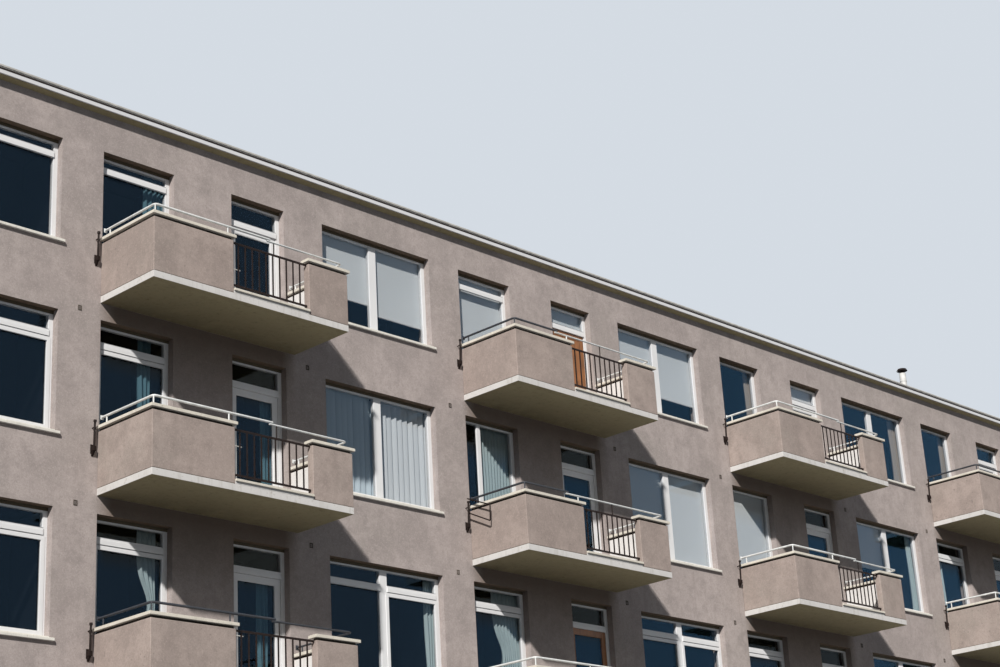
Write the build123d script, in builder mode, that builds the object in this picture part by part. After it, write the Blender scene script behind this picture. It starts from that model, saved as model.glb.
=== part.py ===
"""A five-storey block of flats: rendered walls, recessed windows, cantilevered balconies.

Millimetres. +X runs along the building, the balcony front faces -Y and +Z is up.
The origin is on the ground, in the middle of the space that the building fills.
"""
from build123d import *
import os

# The building
bays = 5
storeys = 5
bay_width = 7160
building_depth = 9500
wall_thickness = 300
party_wall_thickness = 240
ground_floor_level = 600
plinth_setback = 20
storey_height = 2800
floor_thickness = 250

# Openings: heights count from the floor, widths lie between the bay's two side piers
side_pier = 345
head_height = 2450
top_head_height = 2260
window_sill_height = 700
bedroom_window_width = 1245
living_window_width = 2345
balcony_door_width = 1030
door_to_living_window = 782
reveal_depth = 120

# Window and door joinery
frame_depth = 70
frame_face = 70
mullion_width = 150
glass_thickness = 24
door_light_drop = 455
door_leaf_face = 95
door_leaf_depth = 50
door_gap = 3
hinge_gap = 0.3
sill_thickness = 50
sill_projection = 60
sill_side = 55
sill_fall = 10

# Balconies
balcony_depth = 1250
balcony_slab_thickness = 100
balcony_window_side = 10
balcony_door_side = 171
parapet_thickness = 120
parapet_height = 840
railing_gap_width = 1390
right_panel_width = 754
coping_thickness = 50
coping_overhang = 30
kerb_height = 38
kerb_cap_thickness = 32
kerb_cap_overhang = 25

# Balcony steelwork
bar_count = 10
bar_size = 18
rail_height = 30
rail_depth = 20
top_rail_gap = 30
bottom_rail_clearance = 60
handrail_size = 36
handrail_rise = 150
handrail_post_size = 25
bracket_height = 420
bracket_level = 490
bracket_width = 20
bracket_projection = 70
bracket_from_balcony = 90

# Roof
head_to_soffit = 610
eave_projection = 125
soffit_thickness = 12
fascia_height = 85
fascia_thickness = 25
trim_height = 55
trim_recess = 20
trim_depth = 80
roof_slab_thickness = 200
flue_radius = 75
flue_height = 955
flue_setback = 900
flue_from_bay = 1400
flue_bay = 4
flue_cap_radius = 125
flue_cap_height = 45
flue_cap_rise = 60
flue_cap_taper = 20
flue_stem_radius = 38
flue_sides = 20

# Back of the building
entrance_width = 1300
entrance_height = 2200
entrance_sill = 60
entrance_depth = 60
entrance_boundaries = (1, 4)

# What follows from the sizes above
building_length = bays * bay_width
left_end = -building_length / 2
front_reach = balcony_depth + coping_overhang
front_face = (front_reach - eave_projection - building_depth) / 2
back_face = front_face + building_depth
inner_front = front_face + wall_thickness
inner_back = back_face - wall_thickness
inner_length = building_length - 2 * party_wall_thickness
inner_depth = building_depth - 2 * wall_thickness
middle_y = (front_face + back_face) / 2
floor_levels = [ground_floor_level + storey_height * n for n in range(storeys)]
soffit_level = floor_levels[-1] + top_head_height + head_to_soffit
deck_underside = soffit_level + soffit_thickness
deck_thickness = fascia_height - soffit_thickness
deck_top = deck_underside + deck_thickness
soffit_depth = eave_projection - fascia_thickness

bedroom_window_x = side_pier + bedroom_window_width / 2
living_window_x = bay_width - side_pier - living_window_width / 2
door_right_edge = living_window_x - living_window_width / 2 - door_to_living_window
balcony_door_x = door_right_edge - balcony_door_width / 2
balcony_left = side_pier - balcony_window_side
balcony_right = door_right_edge + balcony_door_side
balcony_width = balcony_right - balcony_left
balcony_front = front_face - balcony_depth
parapet_y = balcony_front + parapet_thickness / 2
left_panel_width = balcony_width - railing_gap_width - right_panel_width
gap_start = balcony_left + left_panel_width
kerb_top = kerb_height + kerb_cap_thickness
coping_top = parapet_height + coping_thickness


def bay_start(bay):
    """The left boundary of a bay."""
    return left_end + bay * bay_width


def head_of(storey):
    """How high above its floor the openings of a storey reach."""
    return top_head_height if storey == storeys - 1 else head_height


def wall_top(storey):
    """The top of a storey's wall: the next floor, or the roof deck."""
    return deck_underside if storey == storeys - 1 else floor_levels[storey + 1]


def leaf_top(storey):
    """How high above its floor a balcony door's leaf reaches: the light over it hangs from the head."""
    return head_of(storey) - door_light_drop


def keep(piece, name):
    """Names a finished piece and writes it."""
    piece.label = name
    export_step(piece, f"parts/{name}.step")
    print(name, len(piece.solids()), "solids")


def keep_repeated(name, piece):
    """A node of one piece, modelled at a bay's left boundary and at floor level, in every bay and storey."""
    with BuildPart() as repeated:
        with Locations(*[(bay_start(bay), 0, level) for level in floor_levels for bay in range(bays)]):
            add(piece)
    keep(repeated.part, name)


os.makedirs("parts", exist_ok=True)

# Planes of the profiles: plans lie level, elevations face the front, sections look along the building
front_elevation = Plane.XZ.offset(-front_face)
end_section = Plane.YZ.offset(left_end)
inward = (Align.CENTER, Align.MAX)
upward = (Align.CENTER, Align.MIN)

# Base, party walls and floors
entrance_x = [bay_start(boundary) for boundary in entrance_boundaries]
with BuildPart() as plinth:
    with BuildSketch():
        with Locations((0, middle_y)):
            Rectangle(inner_length, building_depth - 2 * plinth_setback)
            Rectangle(inner_length, inner_depth, mode=Mode.SUBTRACT)
    extrude(amount=ground_floor_level)
    with BuildSketch(Plane.XZ.offset(-inner_back)):
        with Locations(*[(x, entrance_sill) for x in entrance_x]):
            Rectangle(entrance_width, ground_floor_level, align=upward)
    extrude(amount=-wall_thickness, mode=Mode.SUBTRACT)
keep(plinth.part, "plinth")

with BuildPart() as party_wall_left:
    with BuildSketch(end_section):
        with Locations((middle_y, 0)):
            Rectangle(building_depth, deck_underside, align=upward)
    extrude(amount=party_wall_thickness)
keep(party_wall_left.part, "party_wall_left")

with BuildPart() as party_wall_right:
    mirror(party_wall_left.part, about=Plane.YZ)
keep(party_wall_right.part, "party_wall_right")

with BuildPart() as floors:
    for level in floor_levels:
        with BuildSketch(Plane.XY.offset(level)):
            with Locations((0, middle_y)):
                Rectangle(inner_length, inner_depth)
    extrude(amount=-floor_thickness)
keep(floors.part, "floors")

# Front and back walls, one strip a storey, with the openings cut through
for storey in range(storeys):
    level = floor_levels[storey]
    sill = level + window_sill_height
    window_height = head_of(storey) - window_sill_height

    with BuildPart() as front_wall:
        with BuildSketch(front_elevation):
            with Locations((0, level)):
                Rectangle(inner_length, wall_top(storey) - level, align=upward)
            with Locations(*[(bay_start(bay) + bedroom_window_x, sill) for bay in range(bays)]):
                Rectangle(bedroom_window_width, window_height, align=upward, mode=Mode.SUBTRACT)
            with Locations(*[(bay_start(bay) + living_window_x, sill) for bay in range(bays)]):
                Rectangle(living_window_width, window_height, align=upward, mode=Mode.SUBTRACT)
            with Locations(*[(bay_start(bay) + balcony_door_x, level) for bay in range(bays)]):
                Rectangle(balcony_door_width, head_of(storey), align=upward, mode=Mode.SUBTRACT)
        extrude(amount=-wall_thickness)
    keep(front_wall.part, f"front_wall_{storey + 1}")

    with BuildPart() as back_wall:
        with BuildSketch(Plane.XZ.offset(-inner_back)):
            with Locations((0, level)):
                Rectangle(inner_length, wall_top(storey) - level, align=upward)
            with Locations(*[(bay_start(bay) + bay_width / 2, sill) for bay in range(bays)]):
                Rectangle(living_window_width, window_height, align=upward, mode=Mode.SUBTRACT)
            if storey == 0:
                with Locations(*[(x, entrance_sill) for x in entrance_x]):
                    Rectangle(entrance_width, entrance_height, align=upward, mode=Mode.SUBTRACT)
        extrude(amount=-wall_thickness)
    keep(back_wall.part, f"back_wall_{storey + 1}")

# Roof slab between the walls, and the deck that oversails them
with BuildPart() as roof_slab:
    with BuildSketch(Plane.XY.offset(deck_underside)):
        with Locations((0, middle_y)):
            Rectangle(inner_length, inner_depth)
    extrude(amount=-roof_slab_thickness)
keep(roof_slab.part, "roof_slab")

with BuildPart() as roof_deck:
    with BuildSketch(end_section):
        with Locations((middle_y, deck_underside)):
            Rectangle(building_depth + 2 * soffit_depth, deck_thickness, align=upward)
    extrude(amount=building_length)
keep(roof_deck.part, "roof_deck")

# Eaves: a soffit board, a fascia board and the metal edge, along the front and along the back
with BuildPart() as eave_soffits:
    with BuildSketch(end_section):
        with Locations((front_face, soffit_level)):
            Rectangle(soffit_depth, soffit_thickness, align=(Align.MAX, Align.MIN))
        with Locations((back_face, soffit_level)):
            Rectangle(soffit_depth, soffit_thickness, align=(Align.MIN, Align.MIN))
    extrude(amount=building_length)
keep(eave_soffits.part, "eave_soffits")

with BuildPart() as fascia_boards:
    with BuildSketch(end_section):
        with Locations((front_face - soffit_depth, soffit_level)):
            Rectangle(fascia_thickness, fascia_height, align=(Align.MAX, Align.MIN))
        with Locations((back_face + soffit_depth, soffit_level)):
            Rectangle(fascia_thickness, fascia_height, align=(Align.MIN, Align.MIN))
    extrude(amount=building_length)
keep(fascia_boards.part, "fascia_boards")

with BuildPart() as roof_edge_trim:
    for edge, turn in ((front_face - eave_projection, 1), (back_face + eave_projection, -1)):
        with BuildSketch(end_section):
            with BuildLine():
                Polyline(
                    (edge + turn * trim_recess, deck_top),
                    (edge + turn * trim_depth, deck_top),
                    (edge + turn * trim_depth, deck_top + trim_height),
                    (edge, deck_top + trim_height),
                    (edge, deck_top + trim_height / 2),
                    (edge + turn * trim_recess, deck_top + trim_height / 2),
                    close=True,
                )
            make_face()
        extrude(amount=building_length)
keep(roof_edge_trim.part, "roof_edge_trim")

gable_trim_length = building_depth + 2 * (eave_projection - trim_depth)
with BuildPart() as gable_trim:
    with BuildSketch(Plane.XY.offset(deck_top)):
        with Locations((left_end, middle_y)):
            Rectangle(trim_depth, gable_trim_length, align=(Align.MIN, Align.CENTER))
        with Locations((-left_end, middle_y)):
            Rectangle(trim_depth, gable_trim_length, align=(Align.MAX, Align.CENTER))
    extrude(amount=trim_height)
keep(gable_trim.part, "gable_trim")

# Flue on the roof: a pipe, and a cap that stands over it on a stem
flue_x = bay_start(flue_bay) + flue_from_bay
flue_y = front_face + flue_setback
flue_top = deck_top + flue_height
with BuildPart() as flue_pipe:
    with BuildSketch(Plane.XY.offset(deck_top)):
        with Locations((flue_x, flue_y)):
            RegularPolygon(flue_radius, flue_sides)
    extrude(amount=flue_height)
keep(flue_pipe.part, "flue_pipe")

with BuildPart() as flue_cap:
    with BuildSketch(Plane.XY.offset(flue_top)):
        with Locations((flue_x, flue_y)):
            RegularPolygon(flue_stem_radius, flue_sides)
    extrude(amount=flue_cap_rise)
    with BuildSketch(Plane.XY.offset(flue_top + flue_cap_rise)):
        with Locations((flue_x, flue_y)):
            RegularPolygon(flue_cap_radius, flue_sides)
    extrude(amount=flue_cap_height, taper=flue_cap_taper)
keep(flue_cap.part, "flue_cap")

# Balcony slab and parapets, drawn on plan
with BuildPart() as slab:
    with BuildSketch():
        with Locations((balcony_left, front_face)):
            Rectangle(balcony_width, balcony_depth, align=(Align.MIN, Align.MAX))
    extrude(amount=-balcony_slab_thickness)
keep_repeated("balcony_slabs", slab.part)

side_x = [balcony_left + parapet_thickness / 2, balcony_right - parapet_thickness / 2]
side_length = balcony_depth - parapet_thickness
with BuildPart() as side_parapets:
    with BuildSketch():
        with Locations(*[(x, front_face) for x in side_x]):
            Rectangle(parapet_thickness, side_length, align=inward)
    extrude(amount=parapet_height)
keep_repeated("parapet_sides", side_parapets.part)

with BuildPart() as front_parapets:
    with BuildSketch():
        with Locations((balcony_left, parapet_y)):
            Rectangle(left_panel_width, parapet_thickness, align=(Align.MIN, Align.CENTER))
        with Locations((balcony_right, parapet_y)):
            Rectangle(right_panel_width, parapet_thickness, align=(Align.MAX, Align.CENTER))
    extrude(amount=parapet_height)
keep_repeated("parapet_fronts", front_parapets.part)

# Copings: side lengths run to the wall, front lengths turn the corner flush with them
coping_width = parapet_thickness + 2 * coping_overhang
with BuildPart() as side_copings:
    with BuildSketch(front_elevation):
        with Locations(*[(x, parapet_height) for x in side_x]):
            Rectangle(coping_width, coping_thickness, align=upward)
    extrude(amount=side_length - coping_overhang)
keep_repeated("coping_sides", side_copings.part)

with BuildPart() as front_copings:
    with BuildSketch(Plane.XY.offset(parapet_height)):
        with Locations((balcony_left - coping_overhang, parapet_y)):
            Rectangle(left_panel_width + 2 * coping_overhang, coping_width, align=(Align.MIN, Align.CENTER))
        with Locations((balcony_right + coping_overhang, parapet_y)):
            Rectangle(right_panel_width + 2 * coping_overhang, coping_width, align=(Align.MAX, Align.CENTER))
    extrude(amount=coping_thickness)
keep_repeated("coping_fronts", front_copings.part)

# Kerb under the railing, with a thin cap that juts out, drawn in section at the gap's left end
gap_section = Plane.YZ.offset(gap_start)
with BuildPart() as kerb:
    with BuildSketch(gap_section):
        with Locations((parapet_y, 0)):
            Rectangle(parapet_thickness, kerb_height, align=upward)
    extrude(amount=railing_gap_width)
keep_repeated("railing_kerbs", kerb.part)

with BuildPart() as kerb_cap:
    with BuildSketch(gap_section):
        with Locations((balcony_front + parapet_thickness, kerb_height)):
            Rectangle(parapet_thickness + kerb_cap_overhang, kerb_cap_thickness, align=(Align.MAX, Align.MIN))
    extrude(amount=railing_gap_width)
keep_repeated("kerb_caps", kerb_cap.part)

# Railing in the gap: two rails from parapet to parapet, and the bars between them
top_rail_level = parapet_height - top_rail_gap - rail_height
bottom_rail_level = kerb_top + bottom_rail_clearance
with BuildPart() as rails:
    with BuildSketch(gap_section):
        with Locations((parapet_y, bottom_rail_level), (parapet_y, top_rail_level)):
            Rectangle(rail_depth, rail_height, align=upward)
    extrude(amount=railing_gap_width)
keep_repeated("railing_rails", rails.part)

bar_foot = bottom_rail_level + rail_height
with BuildPart() as bars:
    with BuildSketch(Plane.XY.offset(bar_foot)):
        with Locations((gap_start + railing_gap_width / 2, parapet_y)):
            with GridLocations(railing_gap_width / (bar_count + 1), bar_size, bar_count, 1):
                Rectangle(bar_size, bar_size)
    extrude(amount=top_rail_level - bar_foot)
keep_repeated("railing_bars", bars.part)

# Handrail above the coping: two side runs, a front run and its posts
handrail_level = coping_top + handrail_rise - handrail_size
with BuildPart() as side_handrails:
    with BuildSketch(front_elevation):
        with Locations(*[(x, handrail_level) for x in side_x]):
            Rectangle(handrail_size, handrail_size, align=upward)
    extrude(amount=balcony_depth - parapet_thickness / 2 - handrail_size / 2)
keep_repeated("handrail_sides", side_handrails.part)

with BuildPart() as front_handrail:
    with BuildSketch(Plane.YZ.offset(side_x[0] - handrail_size / 2)):
        with Locations((parapet_y, handrail_level)):
            Rectangle(handrail_size, handrail_size, align=upward)
    extrude(amount=side_x[1] - side_x[0] + handrail_size)
keep_repeated("handrail_fronts", front_handrail.part)

post_x = [*side_x, gap_start - parapet_thickness / 2]
with BuildPart() as posts:
    with BuildSketch(Plane.XY.offset(coping_top)):
        with Locations(*[(x, parapet_y) for x in post_x]):
            Rectangle(handrail_post_size, handrail_post_size)
    extrude(amount=handrail_rise - handrail_size)
keep_repeated("handrail_posts", posts.part)

# Steel bracket on the wall beside each balcony
with BuildPart() as bracket:
    with BuildSketch(front_elevation):
        with Locations((balcony_left - bracket_from_balcony, bracket_level)):
            Rectangle(bracket_width, bracket_height, align=upward)
    extrude(amount=bracket_projection)
keep_repeated("wall_brackets", bracket.part)

# Joinery: frames, mullions and glass in elevation, each as deep as it is thick
frame_front = front_face + reveal_depth
frame_middle = frame_front + frame_depth / 2
back_frame_front = back_face - reveal_depth - frame_depth
back_frame_middle = back_frame_front + frame_depth / 2


def keep_frames(name, openings, y):
    """Window frames for (x in the bay, width) openings, in every bay and storey."""
    with BuildPart() as frames:
        for storey in range(storeys):
            sill = floor_levels[storey] + window_sill_height
            height = head_of(storey) - window_sill_height
            with BuildSketch(Plane.XZ.offset(-y)):
                for offset_x, width in openings:
                    with Locations(*[(bay_start(bay) + offset_x, sill + height / 2) for bay in range(bays)]):
                        Rectangle(width, height)
                        Rectangle(width - 2 * frame_face, height - 2 * frame_face, mode=Mode.SUBTRACT)
        extrude(amount=-frame_depth)
    keep(frames.part, name)


def keep_lights(name, lights, y, depth):
    """Uprights or panes between a frame's top and bottom, for (x in the bay, width) lights."""
    with BuildPart() as uprights:
        for storey in range(storeys):
            foot = floor_levels[storey] + window_sill_height + frame_face
            height = head_of(storey) - window_sill_height - 2 * frame_face
            with BuildSketch(Plane.XZ.offset(-y)):
                for offset_x, width in lights:
                    with Locations(*[(bay_start(bay) + offset_x, foot) for bay in range(bays)]):
                        Rectangle(width, height, align=upward)
        extrude(amount=depth / 2, both=True)
    keep(uprights.part, name)


front_openings = [(bedroom_window_x, bedroom_window_width), (living_window_x, living_window_width)]
keep_frames("window_frames", front_openings, frame_front)
keep_lights("window_mullions", [(living_window_x, mullion_width)], frame_middle, frame_depth)
light_width = (living_window_width - 2 * frame_face - mullion_width) / 2
light_offset = (mullion_width + light_width) / 2
front_lights = [
    (bedroom_window_x, bedroom_window_width - 2 * frame_face),
    (living_window_x - light_offset, light_width),
    (living_window_x + light_offset, light_width),
]
keep_lights("window_glass", front_lights, frame_middle, glass_thickness)

# Sill under each living room window, its top falling away from the wall
with BuildPart() as window_sill:
    with BuildSketch(Plane.YZ.offset(living_window_x - living_window_width / 2 - sill_side)):
        with BuildLine():
            Polyline(
                (front_face, window_sill_height - sill_thickness),
                (front_face, window_sill_height),
                (front_face - sill_projection, window_sill_height - sill_fall),
                (front_face - sill_projection, window_sill_height - sill_thickness),
                close=True,
            )
        make_face()
    extrude(amount=living_window_width + 2 * sill_side)
keep_repeated("window_sills", window_sill.part)

# Balcony doors: frame, leaf, its glass and the light above it
door_light_width = balcony_door_width - 2 * frame_face
leaf_width = door_light_width - 2 * door_gap
leaf_x = balcony_door_x - door_gap + hinge_gap
leaf_foot = frame_face + door_gap

with BuildPart() as balcony_door_frames:
    for storey in range(storeys):
        height = head_of(storey)
        middle = floor_levels[storey] + height / 2
        with BuildSketch(Plane.XZ.offset(-frame_front)):
            with Locations(*[(bay_start(bay) + balcony_door_x, middle) for bay in range(bays)]):
                Rectangle(balcony_door_width, height)
                Rectangle(door_light_width, height - 2 * frame_face, mode=Mode.SUBTRACT)
    extrude(amount=-frame_depth)
keep(balcony_door_frames.part, "balcony_door_frames")

with BuildPart() as balcony_doors:
    for storey in range(storeys):
        height = leaf_top(storey) - door_gap - leaf_foot
        middle = floor_levels[storey] + leaf_foot + height / 2
        with BuildSketch(Plane.XZ.offset(-frame_middle)):
            with Locations(*[(bay_start(bay) + leaf_x, middle) for bay in range(bays)]):
                Rectangle(leaf_width, height)
                Rectangle(leaf_width - 2 * door_leaf_face, height - 2 * door_leaf_face, mode=Mode.SUBTRACT)
    extrude(amount=door_leaf_depth / 2, both=True)
keep(balcony_doors.part, "balcony_doors")

with BuildPart() as door_glass:
    for storey in range(storeys):
        level = floor_levels[storey]
        leaf_pane_foot = leaf_foot + door_leaf_face
        leaf_pane_head = leaf_top(storey) - door_gap - door_leaf_face
        light_foot = leaf_top(storey)
        light_head = head_of(storey) - frame_face
        with BuildSketch(Plane.XZ.offset(-frame_middle)):
            with Locations(*[(bay_start(bay) + leaf_x, level + leaf_pane_foot) for bay in range(bays)]):
                Rectangle(leaf_width - 2 * door_leaf_face, leaf_pane_head - leaf_pane_foot, align=upward)
            with Locations(*[(bay_start(bay) + balcony_door_x, level + light_foot) for bay in range(bays)]):
                Rectangle(door_light_width, light_head - light_foot, align=upward)
    extrude(amount=glass_thickness / 2, both=True)
keep(door_glass.part, "door_glass")

# Joinery of the back: one wide window a bay, and the entrance doors
keep_frames("back_window_frames", [(bay_width / 2, living_window_width)], back_frame_front)
back_lights = [(bay_width / 2, living_window_width - 2 * frame_face)]
keep_lights("back_window_glass", back_lights, back_frame_middle, glass_thickness)

with BuildPart() as entrance_doors:
    with BuildSketch(Plane.XZ.offset(-(back_face - reveal_depth))):
        with Locations(*[(x, entrance_sill) for x in entrance_x]):
            Rectangle(entrance_width, entrance_height, align=upward)
    extrude(amount=entrance_depth)
keep(entrance_doors.part, "entrance_doors")
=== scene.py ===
"""Dresses an apartment block with rendered walls, recessed windows and cantilevered balconies."""
import math

import bmesh
import bpy
from bpy.props import FloatProperty, FloatVectorProperty, PointerProperty
from mathutils import Matrix, Vector


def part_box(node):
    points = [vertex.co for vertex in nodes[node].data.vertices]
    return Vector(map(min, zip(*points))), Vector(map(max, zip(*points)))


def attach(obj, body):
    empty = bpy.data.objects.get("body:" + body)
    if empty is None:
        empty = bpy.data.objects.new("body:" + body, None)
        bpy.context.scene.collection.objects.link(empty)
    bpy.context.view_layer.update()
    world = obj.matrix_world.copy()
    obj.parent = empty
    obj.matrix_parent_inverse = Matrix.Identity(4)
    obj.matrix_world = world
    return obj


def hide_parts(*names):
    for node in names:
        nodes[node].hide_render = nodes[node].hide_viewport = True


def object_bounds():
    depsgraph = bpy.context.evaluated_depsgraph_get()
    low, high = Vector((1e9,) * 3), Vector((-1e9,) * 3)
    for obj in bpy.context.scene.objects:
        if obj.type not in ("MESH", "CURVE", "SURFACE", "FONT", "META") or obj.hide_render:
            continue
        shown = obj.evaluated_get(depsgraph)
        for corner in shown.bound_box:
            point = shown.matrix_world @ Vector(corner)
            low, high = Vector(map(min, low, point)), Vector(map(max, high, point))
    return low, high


bl_info = {
    "name": "Apartment Block",
    "version": (1, 0, 0),
    "blender": (4, 5, 0),
    "location": "View3D > Sidebar > Apartment Block",
    "description": "Dresses an apartment block: render, joinery, glass, blinds, copings and balcony steelwork",
    "category": "Object",
}

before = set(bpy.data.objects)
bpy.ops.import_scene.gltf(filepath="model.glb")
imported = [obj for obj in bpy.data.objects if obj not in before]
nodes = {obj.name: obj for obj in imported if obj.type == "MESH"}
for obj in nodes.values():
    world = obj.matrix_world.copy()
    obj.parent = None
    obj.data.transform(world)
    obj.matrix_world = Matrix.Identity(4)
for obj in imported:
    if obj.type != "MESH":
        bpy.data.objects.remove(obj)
cad_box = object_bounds()


def solids_of(node):
    """The lowest and highest corners of each separate solid of a node."""
    mesh = bmesh.new()
    mesh.from_mesh(nodes[node].data)
    bmesh.ops.remove_doubles(mesh, verts=mesh.verts, dist=1e-5)
    left = set(mesh.verts)
    boxes = []
    while left:
        group = [left.pop()]
        for vert in group:
            for edge in vert.link_edges:
                other = edge.other_vert(vert)
                if other in left:
                    left.remove(other)
                    group.append(other)
        low = Vector([min(v.co[i] for v in group) for i in range(3)])
        high = Vector([max(v.co[i] for v in group) for i in range(3)])
        boxes.append((low, high))
    mesh.free()
    return boxes


# Where the bays, the storeys and the faces of the walls are
slabs = solids_of("balcony_slabs")
floor_levels = sorted({round(high.z, 4) for low, high in slabs})
left_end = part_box("party_wall_left")[0].x
bays = sum(1 for low, high in slabs if abs(high.z - floor_levels[0]) < 0.01)
storeys = len(floor_levels)
bay_width = (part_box("party_wall_right")[1].x - left_end) / bays
storey_height = floor_levels[1] - floor_levels[0]
front_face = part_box("front_wall_1")[0].y
front_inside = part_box("front_wall_1")[1].y
back_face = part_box("back_wall_1")[1].y
back_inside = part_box("back_wall_1")[0].y
top = storeys - 1


def place_of(low, high):
    """The storey and the bay that a solid belongs to."""
    middle = (low + high) / 2
    below_floor = 0.3
    storey = int((middle.z - floor_levels[0] + below_floor) // storey_height)
    bay = int((middle.x - left_end) // bay_width)
    return storey, bay


def by_place(node):
    """A node's solids by storey and bay, each list from left to right."""
    found = {}
    for low, high in solids_of(node):
        found.setdefault(place_of(low, high), []).append((low, high))
    for boxes in found.values():
        boxes.sort(key=lambda box: (round(box[0].x, 2), box[0].z))
    return found


all_places = [(storey, bay) for storey in range(storeys) for bay in range(bays)]
lower_places = [place for place in all_places if place[0] < top]
top_places = [place for place in all_places if place[0] == top]

# Places that differ, by storey and bay counted from 0, and by light where a third number stands: windows in
# one sheet of glass, lights with no sash, varnished doors, and handrails dark in both lengths or the left one
plain_bedrooms = {(4, 3), (4, 4), (3, 2), (3, 3), (1, 4)}
plain_livings = {(4, 1), (4, 2), (4, 3), (3, 1), (3, 2), (3, 3), (1, 2)}
unsashed = {(2, 1, 1), (1, 3, 1)}
wooden_doors = {(4, 2), (2, 2)}
dark_handrails = {(2, 1), (1, 0), (0, 3)}
half_dark_handrails = {(4, 2), (4, 4), (3, 2)}


# Sizes and colours

class BlockSizes(bpy.types.PropertyGroup):
    """Sizes of the pieces that dress the block."""
    sash_face: FloatProperty(
        name="Sash face", description="Width of a sash's stiles and rails", default=0.06, unit="LENGTH")
    sash_margin: FloatProperty(
        name="Sash margin", description="How far a sash laps over its frame", default=0.036, unit="LENGTH")
    sash_proud: FloatProperty(
        name="Sash proud", description="How far a sash stands before its frame", default=0.009, unit="LENGTH")
    transom_height: FloatProperty(
        name="Transom height", description="Height of a transom bar", default=0.1, unit="LENGTH")
    transom_drop: FloatProperty(
        name="Transom drop", description="From a window's head to its transom", default=0.28, unit="LENGTH")
    top_transom_drop: FloatProperty(
        name="Top transom drop", description="The same on the top storey", default=0.187, unit="LENGTH")
    coping_joint: FloatProperty(
        name="Coping joint", description="Height of the bed under a coping", default=0.034, unit="LENGTH")
    handrail_step: FloatProperty(
        name="Handrail step", description="How much lower a handrail's right length runs", default=0.03,
        unit="LENGTH")
    bend_radius: FloatProperty(
        name="Bend radius", description="Radius of a handrail's bends", default=0.05, unit="LENGTH")
    vent_width: FloatProperty(
        name="Vent width", description="Width of a vent grille", default=0.062, unit="LENGTH")
    vent_height: FloatProperty(
        name="Vent height", description="Height of a vent grille", default=0.076, unit="LENGTH")
    room_depth: FloatProperty(
        name="Room depth", description="Depth of the lining behind an opening", default=0.9, unit="LENGTH")
    slat_width: FloatProperty(
        name="Slat width", description="Width of an upright blind's slat", default=0.127, unit="LENGTH")
    felt_width: FloatProperty(
        name="Felt width", description="Width of a strip of roofing felt", default=1.0, unit="LENGTH")


class BlockColours(bpy.types.PropertyGroup):
    """Colours of the block's finishes."""
    render: FloatVectorProperty(
        name="Render", description="Wall render", subtype="COLOR", size=3, default=(0.355, 0.307, 0.294))
    parapet: FloatVectorProperty(
        name="Parapet", description="Parapet render", subtype="COLOR", size=3, default=(0.330, 0.270, 0.245))
    white_paint: FloatVectorProperty(
        name="White paint", description="Slab edges and parapet insides", subtype="COLOR", size=3,
        default=(0.58, 0.562, 0.552))
    soffit: FloatVectorProperty(
        name="Soffit", description="Balcony undersides", subtype="COLOR", size=3, default=(0.35, 0.295, 0.17))
    coping: FloatVectorProperty(
        name="Coping", description="Copings and sills", subtype="COLOR", size=3, default=(0.62, 0.58, 0.51))
    joinery: FloatVectorProperty(
        name="Joinery", description="Painted frames and sashes", subtype="COLOR", size=3,
        default=(0.68, 0.68, 0.69))
    wood: FloatVectorProperty(
        name="Wood", description="Varnished doors", subtype="COLOR", size=3, default=(0.25, 0.10, 0.033))
    steel: FloatVectorProperty(
        name="Steel", description="Dark painted railings", subtype="COLOR", size=3,
        default=(0.014, 0.009, 0.008))
    handrail: FloatVectorProperty(
        name="Handrail", description="Light painted handrails", subtype="COLOR", size=3,
        default=(0.56, 0.57, 0.57))
    fascia: FloatVectorProperty(
        name="Fascia", description="Fascia boards", subtype="COLOR", size=3, default=(0.62, 0.62, 0.64))
    roof: FloatVectorProperty(
        name="Roof", description="Roofing felt", subtype="COLOR", size=3, default=(0.075, 0.075, 0.08))
    # The glass tints colour the sheen as a painted sky reflection
    glass: FloatVectorProperty(
        name="Glass", description="Tint of the sheen on the glass", subtype="COLOR", size=3,
        default=(0.038, 0.066, 0.098))
    glass_aslant: FloatVectorProperty(
        name="Glass aslant", description="Sheen of glass seen aslant", subtype="COLOR", size=3,
        default=(0.045, 0.175, 0.32))
    room: FloatVectorProperty(
        name="Room", description="Unlit rooms", subtype="COLOR", size=3, default=(0.005, 0.0065, 0.009))
    blind: FloatVectorProperty(
        name="Blind", description="Roller blinds", subtype="COLOR", size=3, default=(0.90, 0.95, 0.98))


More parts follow.
